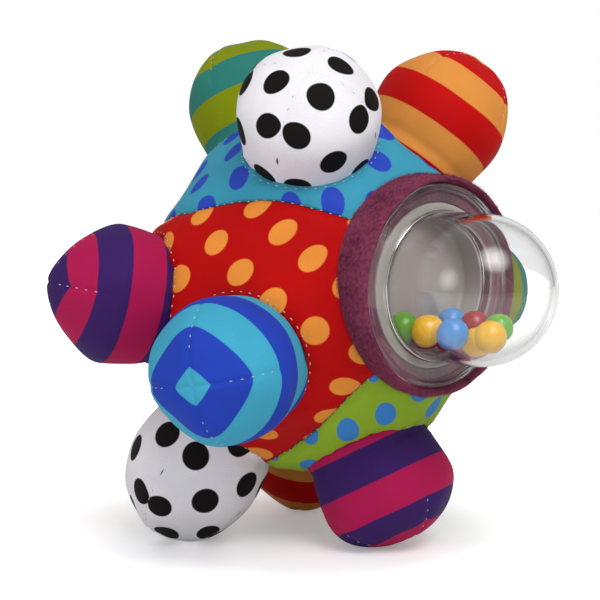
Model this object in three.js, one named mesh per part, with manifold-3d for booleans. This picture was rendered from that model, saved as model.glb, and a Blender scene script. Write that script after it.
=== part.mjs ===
// Baby's rattle ball: a stuffed ball of four cloth gores, eleven padded knobs sewn into it,
// and a clear rattle dome with loose beads, held in a soft velour collar.
// Millimetres and degrees, +Z up. The ball stands on three knobs, with the origin under its middle.

import * as THREE from 'three';
import { mergeVertices } from 'three/addons/utils/BufferGeometryUtils.js';
import Module from 'manifold-3d';

const wasm = await Module();
wasm.setup();

// Driving dimensions: the cloth ball
const BALL_RADIUS = 52.5;
const TENT_HEIGHT = 4.5;
const TENT_SHARPNESS = 15.7;
const CLOTH_THICKNESS = 1.6;
const COLLAR_TENT = 2.5;
const STANCE_HEIGHT = 77.6;
const FLAT_DEPTH = 0.5;

// Driving dimensions: the padded knobs
const KNOB_BASE_RADIUS = 20.0;
const KNOB_BELLY_RADIUS = 21.3;
const KNOB_LENGTH = 34.0;
const KNOB_NECK = 3.0;
const KNOB_BELLY_HEIGHT = 15.0;
const KNOB_ROOT_DEPTH = 8.0;
const DART_FULLNESS = 2.4;
const PETAL_FULLNESS = 1.55;

// Driving dimensions: the rattle dome, whose axis passes a little over the ball's middle
const DOME_SINK = 0.5;
const DOME_LIFT = 6.0;
const DOME_RADIUS = 22.0;
const DOME_WALL = 1.6;
const DOME_STRAIGHT = 18.5;
const DOME_FILLET = 2.0;
const FLANGE_RADIUS = 30.0;
const FLANGE_THICKNESS = 1.8;
const RIM_HEIGHT = 1.0;
const RIM_WIDTH = 1.6;
const BASE_PLATE = 1.5;
const CUP_DEPTH = 7.8;
const LIP_WIDTH = 2.6;
const COLLAR_WIDTH = 2.4;
const COLLAR_TOP = 2.6;
const COLLAR_SWELL = 0.6;
const SHELF_THICKNESS = 2.4;
const MOUTH_MARGIN = 1.2;

// Driving dimensions: the beads and the fits
const BEAD_RADIUS = 4.6;
const FIT_GAP = 0.35;
const SOFT_GAP = 0.5;
const BEAD_GAP = 0.5;

// Facet counts
const KNOB_SIDES = 20;
const CROWN_RISES = [0.35, 0.65, 0.88];
const DOME_SIDES = 32;
const GORE_STEPS_ROUND = 8;
const GORE_STEPS_LONG = 12;
const DOME_ARC_STEPS = 5;
const COLLAR_ARC_STEPS = 4;
const FILLET_STEPS = 2;
const BEAD_DETAIL = 2;
const SETTLE_STEPS = 4;

// Where the dome and the knobs point: turn from the front towards the right, and height, in degrees
const DOME_AIM = [41.8, -1.5];
const GORE_AIM = [41.8, 4.2];

// A knob's seat is where it is sewn in, its tip where its four darts meet, and its turn is how far
// the darts are rotated about it. A foot is a knob that the ball stands on.
const KNOBS = [
  {
    name: 'knob_white_spotted_top', cloth: 'spotted',
    seat: [-5.6, 59.0], tip: [-2.7, 53.3], turn: 20, length: 31,
  },
  {
    name: 'knob_orange_red', cloth: 'orangeRed',
    seat: [84.4, 54.7], tip: [92.4, 54.8], turn: 40, length: 36,
  },
  {
    name: 'knob_lime_teal_top', cloth: 'limeTeal',
    seat: [-130.7, 65.3], tip: [-132.9, 65.0], turn: 15,
  },
  {
    name: 'knob_magenta_purple_side', cloth: 'magentaPurple',
    seat: [-68.1, -1.5], tip: [-68.3, 3.5], turn: 0,
  },
  {
    name: 'knob_blue_turquoise_front', cloth: 'blueTurquoise',
    seat: [-24.5, -18.5], tip: [-23.6, -13.5], turn: 8,
  },
  {
    name: 'knob_lime_teal_side', cloth: 'limeTeal',
    seat: [124.3, -1.1], tip: [124.3, -1.1], turn: 10,
  },
  {
    name: 'knob_blue_turquoise_back', cloth: 'blueTurquoise',
    seat: [172.3, 26.1], tip: [172.3, 26.1], turn: 30,
  },
  {
    name: 'knob_white_spotted_back', cloth: 'spotted',
    seat: [-139.3, -4.8], tip: [-139.3, -4.8], turn: 5,
  },
  {
    name: 'foot_knob_white_spotted', cloth: 'spotted',
    seat: [-76.7, -53.7], tip: [-81.0, -55.0], turn: 25, foot: true,
  },
  {
    name: 'foot_knob_magenta_purple', cloth: 'magentaPurple',
    seat: [44.7, -64.7], tip: [52.6, -64.3], turn: 35, foot: true,
  },
  {
    name: 'foot_knob_orange_red', cloth: 'orangeRed',
    seat: [-173.7, -57.0], tip: [-173.7, -57.0], turn: 10, foot: true,
  },
];
const KNOB_COLOURS = {
  spotted: 0xedebef,
  orangeRed: 0xe08a30,
  limeTeal: 0x9ab024,
  magentaPurple: 0x6a2070,
  blueTurquoise: 0x3a6fd0,
};

// The gores run round an axis of their own, close to the dome's. Each starts at one seam and ends
// at the next, and a seam has one angle beside the dome and another from the ball's waist to the far side.
const SEAMS = [
  { near: 38, far: 66 },
  { near: 133, far: 150 },
  { near: 221, far: 247 },
  { near: 318, far: 330 },
];
const SEAM_WAIST = 95;
const GORES = [
  { name: 'gore_teal', from: 0, to: 1, colour: 0x45b0cc },
  { name: 'gore_red', from: 1, to: 2, colour: 0xcc0e0e },
  { name: 'gore_lime', from: 2, to: 3, colour: 0x9ab420 },
  { name: 'gore_purple', from: 3, to: 0, colour: 0x452878 },
];
const GORE_END = 166;

// Beads lie in the trough of the chamber: row counts from the cup, lane is across the axis
const BEADS = [
  { name: 'bead_green_front', row: 0, lane: -1, colour: 0x6cbf3a },
  { name: 'bead_yellow_front', row: 1, lane: -1, colour: 0xf2b81c },
  { name: 'bead_blue_front', row: 2, lane: -1, colour: 0x4a9ae0 },
  { name: 'bead_yellow_end', row: 3, lane: -0.5, colour: 0xf2b81c },
  { name: 'bead_red_inner', row: 0, lane: 0, colour: 0xb81c24 },
  { name: 'bead_red_middle', row: 1, lane: 0, colour: 0xb81c24 },
  { name: 'bead_yellow_middle', row: 2, lane: 0, colour: 0xf2b81c },
  { name: 'bead_blue_back', row: 0, lane: 1, colour: 0x4a9ae0 },
  { name: 'bead_red_back', row: 1, lane: 1, colour: 0xb81c24 },
  { name: 'bead_green_back', row: 2, lane: 1, colour: 0x6cbf3a },
];

// Directions and frames

const UP = new THREE.Vector3(0, 0, 1);
const rad = THREE.MathUtils.degToRad;

function aim([turn, height]) {
  const level = Math.cos(rad(height));
  const flat = rad(turn);
  return new THREE.Vector3(Math.sin(flat) * level, -Math.cos(flat) * level, Math.sin(rad(height)));
}

// The two directions across an axis: one level, the other pointing upwards
function across(axis) {
  const level = new THREE.Vector3().crossVectors(UP, axis).normalize();
  const rising = new THREE.Vector3().crossVectors(axis, level);
  return { level, rising };
}

const domeAxis = aim(DOME_AIM);
const domeAcross = across(domeAxis);
const domeOrigin = domeAcross.rising.clone().multiplyScalar(DOME_LIFT);
const goreAxis = aim(GORE_AIM);
const goreAcross = across(goreAxis);

function domePoint(along, level, rising) {
  return domeOrigin.clone()
    .addScaledVector(domeAxis, along)
    .addScaledVector(domeAcross.level, level)
    .addScaledVector(domeAcross.rising, rising);
}

function goreDirection(round, tilt) {
  const out = Math.sin(rad(tilt));
  return new THREE.Vector3()
    .addScaledVector(goreAxis, Math.cos(rad(tilt)))
    .addScaledVector(goreAcross.level, out * Math.cos(rad(round)))
    .addScaledVector(goreAcross.rising, out * Math.sin(rad(round)));
}

// Solids

function toSolid(geometry) {
  const bare = geometry.clone();
  bare.deleteAttribute('normal');
  bare.deleteAttribute('uv');
  const merged = mergeVertices(bare, 1e-4);
  return new wasm.Manifold(new wasm.Mesh({
    numProp: 3,
    vertProperties: new Float32Array(merged.attributes.position.array),
    triVerts: new Uint32Array(merged.index.array),
  }));
}

function toGeometry(solid) {
  const mesh = solid.getMesh();
  const geometry = new THREE.BufferGeometry();
  const corners = new Float32Array(mesh.numVert * 3);
  for (let i = 0; i < mesh.numVert; i += 1) {
    for (let k = 0; k < 3; k += 1) {
      corners[i * 3 + k] = mesh.vertProperties[i * mesh.numProp + k];
    }
  }
  geometry.setAttribute('position', new THREE.BufferAttribute(corners, 3));
  geometry.setIndex(Array.from(mesh.triVerts));
  geometry.computeVertexNormals();
  return geometry;
}

// The main body of a cut piece, without offcuts
function mainBody(solid) {
  return solid.decompose().reduce((a, b) => (a.volume() >= b.volume() ? a : b));
}

function makeGeometry(points, triangles) {
  const geometry = new THREE.BufferGeometry();
  const corners = new Float32Array(points.length * 3);
  points.forEach((p, i) => p.toArray(corners, i * 3));
  geometry.setAttribute('position', new THREE.BufferAttribute(corners, 3));
  geometry.setIndex(triangles);
  return geometry;
}

// A closed loft: rings of points, each joined to the next, between two end points
function loft(start, rings, end) {
  const sides = rings[0].length;
  const points = [start, ...rings.flat(), end];
  const triangles = [];
  const at = (ring, i) => 1 + ring * sides + (i % sides);
  for (let i = 0; i < sides; i += 1) {
    triangles.push(0, at(0, i + 1), at(0, i));
    for (let ring = 0; ring + 1 < rings.length; ring += 1) {
      triangles.push(at(ring, i), at(ring, i + 1), at(ring + 1, i + 1));
      triangles.push(at(ring, i), at(ring + 1, i + 1), at(ring + 1, i));
    }
    triangles.push(at(rings.length - 1, i), at(rings.length - 1, i + 1), points.length - 1);
  }
  return makeGeometry(points, triangles);
}

// A revolved piece on the dome's axis, from a profile of [radius, distance along the axis]
function revolveOnDome(profile, sides = DOME_SIDES) {
  const geometry = new THREE.LatheGeometry(profile.map(([r, s]) => new THREE.Vector2(r, s)), sides);
  const falling = domeAcross.rising.clone().negate();
  const stand = new THREE.Matrix4().makeBasis(domeAcross.level, domeAxis, falling).setPosition(domeOrigin);
  return geometry.applyMatrix4(stand);
}

// Points of an arc in a profile, from one angle to another, in degrees
function arc(centreR, centreS, radius, from, to, steps) {
  const points = [];
  for (let i = 0; i <= steps; i += 1) {
    const a = rad(from + ((to - from) * i) / steps);
    points.push([centreR + radius * Math.cos(a), centreS + radius * Math.sin(a)]);
  }
  return points;
}

// The ball's surface: round, and drawn up like a tent to the collar and to the sewn-in edge of each knob

const seatReach = BALL_RADIUS + TENT_HEIGHT;
const seatCosine = Math.sqrt(1 - (KNOB_BASE_RADIUS / seatReach) ** 2);
const seatDistance = seatReach * seatCosine;
const domeSeat = BALL_RADIUS - DOME_SINK;
const collarInner = FLANGE_RADIUS + FIT_GAP;
const collarOuter = collarInner + COLLAR_WIDTH;
const collarCosine = Math.sqrt(1 - (collarOuter / (BALL_RADIUS + COLLAR_TENT)) ** 2);
const TENTS = [
  { axis: domePoint(domeSeat, 0, 0).normalize(), cosine: collarCosine, height: COLLAR_TENT },
  ...KNOBS.map((knob) => ({ axis: aim(knob.seat), cosine: seatCosine, height: TENT_HEIGHT })),
];

function ballRadius(direction) {
  return TENTS.reduce((radius, tent) => {
    const away = Math.max(0, tent.cosine - tent.axis.dot(direction));
    return radius + tent.height * Math.exp(-TENT_SHARPNESS * away);
  }, BALL_RADIUS);
}

// Seams and rows of the cloth, shared by the gores and by what lies under them

const mouthRadius = collarInner + MOUTH_MARGIN;
const mouthTilt = THREE.MathUtils.radToDeg(Math.asin(mouthRadius / (BALL_RADIUS + COLLAR_TENT)));
const goreTilts = Array.from(
  { length: GORE_STEPS_LONG + 1 }, (_, j) => mouthTilt + ((GORE_END - mouthTilt) * j) / GORE_STEPS_LONG);

function seamAngle(index, tilt) {
  const { near, far } = SEAMS[index];
  const share = Math.min(1, tilt / SEAM_WAIST);
  return near + (far - near) * share;
}

// Angles round the gores' axis of one gore's columns, trimmed at both seams
function goreColumns(gore, tilt, trim) {
  const start = seamAngle(gore.from, tilt);
  const width = (seamAngle(gore.to, tilt) + 360 - start) % 360;
  return Array.from(
    { length: GORE_STEPS_ROUND + 1 }, (_, i) => start + trim + ((width - 2 * trim) * i) / GORE_STEPS_ROUND);
}

function onBall(round, tilt, depth) {
  const direction = goreDirection(round, tilt);
  return direction.multiplyScalar(ballRadius(direction) - depth);
}

// A whole ball, a set depth under the cloth's outer face
function ballSolid(depth) {
  const tilts = [mouthTilt / 3, (mouthTilt * 2) / 3, ...goreTilts, (GORE_END + 180) / 2].reverse();
  const rings = tilts.map((tilt) => GORES.flatMap((gore) => (
    goreColumns(gore, tilt, 0).slice(0, -1).map((round) => onBall(round, tilt, depth)))));
  return toSolid(loft(onBall(0, 180, depth), rings, onBall(0, 0, depth)));
}

// Knobs

function knobFrame(knob) {
  const seat = aim(knob.seat).multiplyScalar(seatDistance);
  const tip = aim(knob.tip).multiplyScalar(seatDistance + (knob.length ?? KNOB_LENGTH));
  const axis = tip.clone().sub(seat).normalize();
  return { seat, axis, length: tip.distanceTo(seat), ...across(axis) };
}

// Radius of a knob at a height over its seat; it is fuller along its darts than between them
function knobRadius(height, length, fromDart) {
  if (height <= KNOB_NECK) {
    return KNOB_BASE_RADIUS;
  }
  if (height <= KNOB_BELLY_HEIGHT) {
    const swell = Math.sin(((height - KNOB_NECK) / (KNOB_BELLY_HEIGHT - KNOB_NECK)) * Math.PI / 2);
    return KNOB_BASE_RADIUS + (KNOB_BELLY_RADIUS - KNOB_BASE_RADIUS) * swell;
  }
  const fullness = PETAL_FULLNESS + (DART_FULLNESS - PETAL_FULLNESS) * (1 + Math.cos(4 * fromDart)) / 2;
  const rise = (height - KNOB_BELLY_HEIGHT) / (length - KNOB_BELLY_HEIGHT);
  return KNOB_BELLY_RADIUS * Math.max(0, 1 - rise ** fullness) ** (1 / fullness);
}

function knobPoint(frame, height, radius, angle) {
  return frame.seat.clone()
    .addScaledVector(frame.axis, height)
    .addScaledVector(frame.level, radius * Math.cos(angle))
    .addScaledVector(frame.rising, radius * Math.sin(angle));
}

function knobSolid(knob, grow = 0) {
  const frame = knobFrame(knob);
  const crown = CROWN_RISES.map((rise) => KNOB_BELLY_HEIGHT + (frame.length - KNOB_BELLY_HEIGHT) * rise);
  const waist = (KNOB_NECK + KNOB_BELLY_HEIGHT) / 2;
  const heights = [-KNOB_ROOT_DEPTH, KNOB_NECK, waist, KNOB_BELLY_HEIGHT, ...crown];
  const rings = heights.map((height) => {
    const ring = [];
    for (let i = 0; i < KNOB_SIDES; i += 1) {
      const fromDart = (2 * Math.PI * i) / KNOB_SIDES;
      const radius = knobRadius(height, frame.length, fromDart) + grow;
      ring.push(knobPoint(frame, height, radius, fromDart + rad(knob.turn)));
    }
    return ring;
  });
  const root = knobPoint(frame, -KNOB_ROOT_DEPTH, 0, 0);
  return toSolid(loft(root, rings, knobPoint(frame, frame.length + grow, 0, 0)));
}

// The round hole in the cloth that a knob comes through
function seatHole(knob) {
  const frame = knobFrame(knob);
  const radius = (KNOB_BASE_RADIUS + FIT_GAP) / Math.cos(Math.PI / KNOB_SIDES);
  const ring = (height) => Array.from({ length: KNOB_SIDES }, (_, i) => (
    knobPoint(frame, height, radius, (2 * Math.PI * i) / KNOB_SIDES + rad(knob.turn))));
  const deep = -2 * KNOB_ROOT_DEPTH;
  return toSolid(loft(
    knobPoint(frame, deep, 0, 0), [ring(deep), ring(KNOB_LENGTH)], knobPoint(frame, KNOB_LENGTH, 0, 0)));
}

// Everything under the floor that the feet stand on
function underFloor() {
  const size = 4 * seatReach;
  return toSolid(new THREE.BoxGeometry(size, size, size).translate(0, 0, -STANCE_HEIGHT - size / 2));
}

// A foot is as long as it takes to press the flat's depth into the floor
function settled(knob) {
  let length = knob.length ?? KNOB_LENGTH;
  for (let i = 0; knob.foot && i < SETTLE_STEPS; i += 1) {
    const lowest = knobSolid({ ...knob, length }).boundingBox().min[2];
    length += (lowest + STANCE_HEIGHT + FLAT_DEPTH) / Math.sin(rad(-knob.tip[1]));
  }
  return { ...knob, length };
}

// Gores

function goreSolid(gore) {
  const layers = [0, CLOTH_THICKNESS].map((depth) => goreTilts.map((tilt) => {
    const trim = THREE.MathUtils.radToDeg(FIT_GAP / 2 / (BALL_RADIUS * Math.sin(rad(tilt))));
    return goreColumns(gore, tilt, trim).map((round) => onBall(round, tilt, depth));
  }));
  return toSolid(panel(layers[0], layers[1]));
}

// A closed panel between two grids of points: an outer face, an inner face and four edges
function panel(outer, inner) {
  const rows = outer.length;
  const columns = outer[0].length;
  const points = [...outer.flat(), ...inner.flat()];
  const at = (layer, j, i) => layer * rows * columns + j * columns + i;
  const triangles = [];
  const quad = (a, b, c, d) => triangles.push(a, b, c, a, c, d);
  for (let j = 0; j + 1 < rows; j += 1) {
    for (let i = 0; i + 1 < columns; i += 1) {
      quad(at(0, j + 1, i), at(0, j + 1, i + 1), at(0, j, i + 1), at(0, j, i));
      quad(at(1, j, i + 1), at(1, j + 1, i + 1), at(1, j + 1, i), at(1, j, i));
    }
    quad(at(0, j, 0), at(1, j, 0), at(1, j + 1, 0), at(0, j + 1, 0));
    const end = columns - 1;
    quad(at(0, j, end), at(0, j + 1, end), at(1, j + 1, end), at(1, j, end));
  }
  for (let i = 0; i + 1 < columns; i += 1) {
    quad(at(0, 0, i), at(0, 0, i + 1), at(1, 0, i + 1), at(1, 0, i));
    quad(at(0, rows - 1, i), at(1, rows - 1, i), at(1, rows - 1, i + 1), at(0, rows - 1, i + 1));
  }
  return makeGeometry(points, triangles);
}

// Rattle dome

const chamberRadius = DOME_RADIUS - DOME_WALL;
const domeCentre = domeSeat + DOME_STRAIGHT;
const flangeTop = domeSeat + FLANGE_THICKNESS;
const plateTop = domeSeat - FIT_GAP;
const cupFloor = plateTop - CUP_DEPTH;
const cupOuter = chamberRadius + BASE_PLATE;
const lipRadius = cupOuter + LIP_WIDTH;
const shelfBottom = plateTop - SHELF_THICKNESS;
const shelfOuter = collarInner + FIT_GAP;

function domeGeometry() {
  return revolveOnDome([
    [0, domeCentre + chamberRadius],
    ...arc(0, domeCentre, chamberRadius, 90, 0, DOME_ARC_STEPS).slice(1),
    [chamberRadius, domeSeat],
    [FLANGE_RADIUS, domeSeat],
    [FLANGE_RADIUS, flangeTop + RIM_HEIGHT],
    [FLANGE_RADIUS - RIM_WIDTH, flangeTop + RIM_HEIGHT],
    [FLANGE_RADIUS - RIM_WIDTH - RIM_HEIGHT, flangeTop],
    ...arc(DOME_RADIUS + DOME_FILLET, flangeTop + DOME_FILLET, DOME_FILLET, 270, 180, FILLET_STEPS),
    ...arc(0, domeCentre, DOME_RADIUS, 0, 90, DOME_ARC_STEPS).slice(0, -1),
    [0, domeCentre + DOME_RADIUS],
  ]);
}

// The moulded cup under the dome, with a lip that its flange is fixed to
function baseGeometry() {
  return revolveOnDome([
    [0, cupFloor - BASE_PLATE],
    [cupOuter, cupFloor - BASE_PLATE],
    [cupOuter, plateTop - BASE_PLATE],
    [lipRadius, plateTop - BASE_PLATE],
    [lipRadius, plateTop],
    [chamberRadius, plateTop],
    [chamberRadius, cupFloor],
    [0, cupFloor],
  ]);
}

// The soft collar: a band round the flange, cut to lie on the cloth, and a shelf that the flange lies on
function collarSolid() {
  const top = flangeTop + COLLAR_TOP;
  const bottom = Math.sqrt(BALL_RADIUS ** 2 - collarOuter ** 2) - CLOTH_THICKNESS;
  const round = COLLAR_WIDTH / 2;
  const band = revolveOnDome([
    [collarInner, bottom],
    [collarOuter, bottom],
    [collarOuter + COLLAR_SWELL, (bottom + top) / 2],
    ...arc(collarInner + round, top - round, round, 0, 180, COLLAR_ARC_STEPS),
    [collarInner, bottom],
  ]);
  const shelf = revolveOnDome([
    [lipRadius + FIT_GAP, shelfBottom],
    [shelfOuter, shelfBottom],
    [shelfOuter, plateTop],
    [lipRadius + FIT_GAP, plateTop],
    [lipRadius + FIT_GAP, shelfBottom],
  ]);
  return mainBody(toSolid(band).subtract(ballSolid(-FIT_GAP)).add(toSolid(shelf)));
}

// Stuffing, with a pocket for the cup and a wider one for the collar's shelf
function coreSolid() {
  const pocketRadius = cupOuter + FIT_GAP;
  const pocketFloor = cupFloor - BASE_PLATE - FIT_GAP;
  const shelfFloor = shelfBottom - FIT_GAP;
  const pocket = revolveOnDome([
    [0, pocketFloor],
    [pocketRadius, pocketFloor],
    [pocketRadius, shelfFloor],
    [shelfOuter + FIT_GAP, shelfFloor],
    [shelfOuter + FIT_GAP, 2 * domeSeat],
    [0, 2 * domeSeat],
  ]);
  return ballSolid(CLOTH_THICKNESS + SOFT_GAP).subtract(toSolid(pocket));
}

// Beads lie on the chamber's wall, a bead's width apart along the axis and across it. The chamber
// leans down outwards, so a bead that hops straight up nears the cup's floor, and has room for that.
function beadCentre(bead) {
  const leanRoom = Math.max(0, -domeAxis.z) * 2 * (chamberRadius - BEAD_RADIUS);
  const pitch = 2 * BEAD_RADIUS + BEAD_GAP;
  const reach = chamberRadius * Math.cos(Math.PI / DOME_SIDES) - BEAD_RADIUS - FIT_GAP;
  const along = cupFloor + FIT_GAP + leanRoom + BEAD_RADIUS + pitch * bead.row;
  const level = pitch * bead.lane;
  const beyond = Math.max(0, along - domeCentre);
  const drop = Math.sqrt(reach ** 2 - beyond ** 2 - level ** 2);
  return domePoint(along, level, -drop);
}

// Assembly

const CLOTH = { roughness: 0.85, metalness: 0 };
const VELOUR = { roughness: 1, metalness: 0 };
const CLEAR = { roughness: 0.05, metalness: 0, transparent: true, opacity: 0.3 };
const PLASTIC = { roughness: 0.35, metalness: 0 };

const ball = new THREE.Group();

function addPiece(name, geometry, colour, finish) {
  const mesh = new THREE.Mesh(geometry, new THREE.MeshStandardMaterial({ color: colour, ...finish }));
  mesh.name = name;
  ball.add(mesh);
}

addPiece('stuffing', toGeometry(coreSolid()), 0xf4f2ee, CLOTH);

const seatHoles = KNOBS.map(seatHole);
for (const gore of GORES) {
  const cut = seatHoles.reduce((solid, hole) => solid.subtract(hole), goreSolid(gore));
  addPiece(gore.name, toGeometry(mainBody(cut)), gore.colour, CLOTH);
}

// Each knob sits on the stuffing, and gives way to the neighbours that were sewn in before it
const underKnobs = ballSolid(CLOTH_THICKNESS + SOFT_GAP - FIT_GAP);
const knobs = KNOBS.map(settled);
knobs.forEach((knob, index) => {
  let solid = knobSolid(knob).subtract(underKnobs).subtract(underFloor());
  for (const earlier of knobs.slice(0, index)) {
    solid = solid.subtract(knobSolid(earlier, FIT_GAP));
  }
  addPiece(knob.name, toGeometry(mainBody(solid)), KNOB_COLOURS[knob.cloth], CLOTH);
});

addPiece('velour_collar', toGeometry(collarSolid()), 0x5a2038, VELOUR);
addPiece('dome_base', toGeometry(toSolid(baseGeometry())), 0xc8c4c0, PLASTIC);
addPiece('clear_dome', toGeometry(toSolid(domeGeometry())), 0xf4f4f4, CLEAR);

for (const bead of BEADS) {
  const round = new THREE.IcosahedronGeometry(BEAD_RADIUS, BEAD_DETAIL);
  const placed = round.translate(...beadCentre(bead).toArray());
  addPiece(bead.name, toGeometry(toSolid(placed)), bead.colour, PLASTIC);
}

// The floor's height and the middle of the ball's outline become the origin
const outline = new THREE.Box3().setFromObject(ball);
const middle = outline.getCenter(new THREE.Vector3());
ball.position.set(-middle.x, -middle.y, STANCE_HEIGHT);

export default ball;
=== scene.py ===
"""Looks of a rattle ball: sewn cloth gores, stuffed knobs, a velour collar and a clear bead dome."""

import logging
import math
from dataclasses import dataclass, field
from enum import Enum
from functools import cache
from typing import NamedTuple

import bpy
import numpy as np
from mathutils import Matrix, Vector


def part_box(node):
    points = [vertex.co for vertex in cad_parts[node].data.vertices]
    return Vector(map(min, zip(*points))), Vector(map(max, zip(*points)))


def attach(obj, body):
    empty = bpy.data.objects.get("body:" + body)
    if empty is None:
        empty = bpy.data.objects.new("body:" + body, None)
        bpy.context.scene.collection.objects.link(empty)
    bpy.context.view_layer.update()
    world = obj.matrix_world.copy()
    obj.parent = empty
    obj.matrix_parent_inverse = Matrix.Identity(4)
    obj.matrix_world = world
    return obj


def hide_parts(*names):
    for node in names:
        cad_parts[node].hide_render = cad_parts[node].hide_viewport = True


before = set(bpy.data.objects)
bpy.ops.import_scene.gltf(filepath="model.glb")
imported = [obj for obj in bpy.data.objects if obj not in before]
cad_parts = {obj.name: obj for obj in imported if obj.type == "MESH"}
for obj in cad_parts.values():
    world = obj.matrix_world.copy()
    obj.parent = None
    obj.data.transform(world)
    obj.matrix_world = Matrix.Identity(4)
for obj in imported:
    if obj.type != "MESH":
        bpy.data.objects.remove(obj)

LOG = logging.getLogger("rattle_ball")
MM = 0.001
UP = np.array([0.0, 0.0, 1.0])
CLOTH_UV = "cloth"
BALL_BODY = "ball"
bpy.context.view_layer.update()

Socket = bpy.types.NodeSocket
Colour = tuple[float, float, float, float]


# Small sums

def paint(code: str) -> Colour:
    """Turns a colour written as six hex digits into linear light.

    Args:
        code: red, green and blue as on a screen, such as "cc0e0e".

    Returns:
        The colour as linear red, green, blue and a full alpha.
    """
    parts = [int(code[i:i + 2], 16) / 255 for i in (0, 2, 4)]
    linear = [c / 12.92 if c <= 0.04045 else ((c + 0.055) / 1.055) ** 2.4 for c in parts]
    return (*linear, 1.0)


def unit(vector: np.ndarray) -> np.ndarray:
    """Returns the vector, or each row of an array of vectors, at length one."""
    return vector / np.linalg.norm(vector, axis=-1, keepdims=True)


def ease(low: float, high: float, value: np.ndarray) -> np.ndarray:
    """Returns a smooth step from 0 at low to 1 at high."""
    share = np.clip((value - low) / (high - low), 0.0, 1.0)
    return share * share * (3 - 2 * share)


def aim(turn: float, height: float) -> np.ndarray:
    """Gives a direction from the ball's middle.

    Args:
        turn: degrees from the front towards the right.
        height: degrees above the level.

    Returns:
        A unit vector.
    """
    level = math.cos(math.radians(height))
    flat = math.radians(turn)
    return np.array([math.sin(flat) * level, -math.cos(flat) * level, math.sin(math.radians(height))])


def across(axis: np.ndarray) -> tuple[np.ndarray, np.ndarray]:
    """Returns the two directions across an axis: one level, the other pointing upwards."""
    level = unit(np.cross(UP, axis))
    return level, np.cross(axis, level)


class Ripple:
    """A small uneven swell of the cloth, made of a few waves with a fixed seed."""

    def __init__(self, seed: int, wavelength: float, waves: int = 12) -> None:
        """Draws the waves.

        Args:
            seed: start of the random draw.
            wavelength: middle length of the waves, in metres.
            waves: how many are added up.
        """
        draw = np.random.default_rng(seed)
        lengths = wavelength * draw.uniform(0.7, 1.5, waves)
        self.pull = unit(draw.normal(size=(waves, 3))) * (2 * math.pi / lengths)[:, None]
        self.phase = draw.uniform(0, 2 * math.pi, waves)

    def at(self, points: np.ndarray) -> np.ndarray:
        """Returns the swell at each point, mostly between -1 and 1."""
        return np.sin(points @ self.pull.T + self.phase).sum(-1) / math.sqrt(len(self.phase))


# Materials

class NodeWork:
    """Adds and joins the nodes of one tree."""

    tree: bpy.types.NodeTree

    def add(self, kind: str, inputs: dict | None = None, **settings: object) -> bpy.types.Node:
        """Adds one node.

        Args:
            kind: Blender's name of the node's type.
            inputs: values or sockets for its inputs, by name or number.
            **settings: other properties of the node.

        Returns:
            The node.
        """
        node = self.tree.nodes.new(kind)
        for key, value in settings.items():
            setattr(node, key, value)
        for key, value in (inputs or {}).items():
            if isinstance(value, Socket):
                self.tree.links.new(value, node.inputs[key])
            else:
                node.inputs[key].default_value = value
        return node


class NodeBench(NodeWork):
    """Works on the nodes of one material, lamp or world."""

    def __init__(self, name: str) -> None:
        """Starts an empty material."""
        self.material = bpy.data.materials.new(name)
        self.material.use_nodes = True
        self.tree = self.material.node_tree
        self.tree.nodes.clear()

    @classmethod
    def on(cls, tree: bpy.types.NodeTree) -> "NodeBench":
        """Returns a bench that works on another tree, emptied first."""
        bench = cls.__new__(cls)
        bench.tree = tree
        tree.nodes.clear()
        return bench

    def math(self, operation: str, first: Socket | float, second: Socket | float = 0.0) -> Socket:
        """Returns the result of a sum on numbers."""
        return self.add("ShaderNodeMath", {0: first, 1: second}, operation=operation).outputs[0]

    def vector(self, operation: str, first: Socket, second: Socket | tuple = (0, 0, 0)) -> Socket:
        """Returns the result of a sum on vectors."""
        return self.add("ShaderNodeVectorMath", {0: first, 1: second}, operation=operation).outputs[0]

    def length(self, vector: Socket) -> Socket:
        """Returns the length of a vector."""
        return self.add("ShaderNodeVectorMath", {0: vector}, operation="LENGTH").outputs["Value"]

    def shaded(self, colour: Socket | Colour, value: Socket) -> Socket:
        """Returns a colour made lighter or darker."""
        return self.add("ShaderNodeHueSaturation", {"Color": colour, "Value": value}).outputs[0]

    def remap(self, value: Socket, old: tuple[float, float], new: tuple[float, float]) -> Socket:
        """Returns a value moved from one range to another, and held inside it."""
        ends = {0: value, 1: old[0], 2: old[1], 3: new[0], 4: new[1]}
        return self.add("ShaderNodeMapRange", ends).outputs[0]

    def noise(self, vector: Socket, scale: float, detail: float = 2.0) -> Socket:
        """Returns a noise from 0 to 1."""
        return self.add(
            "ShaderNodeTexNoise", {"Vector": vector, "Scale": scale, "Detail": detail}).outputs[0]

    def blend(self, share: Socket | float, first: Socket | Colour, second: Socket | Colour) -> Socket:
        """Returns a mix of two colours."""
        node = self.add("ShaderNodeMix", data_type="RGBA")
        for index, value in ((0, share), (6, first), (7, second)):
            if isinstance(value, Socket):
                self.tree.links.new(value, node.inputs[index])
            else:
                node.inputs[index].default_value = value
        return node.outputs[2]

    def bump(self, height: Socket, strength: float, distance: float) -> Socket:
        """Returns a normal, bent by a height."""
        return self.add(
            "ShaderNodeBump", {"Height": height, "Strength": strength, "Distance": distance}).outputs[0]

    def place(self) -> Socket:
        """Returns the place on the object."""
        return self.add("ShaderNodeTexCoord").outputs["Object"]

    def finish(self, shader: bpy.types.Node) -> bpy.types.Material:
        """Joins the last shader to the output and returns the material."""
        output = self.add("ShaderNodeOutputMaterial")
        self.tree.links.new(shader.outputs[0], output.inputs["Surface"])
        return self.material


class Pattern(Enum):
    """How a printed cloth is figured."""

    DOTS = "dots"
    STRIPES = "stripes"


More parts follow.
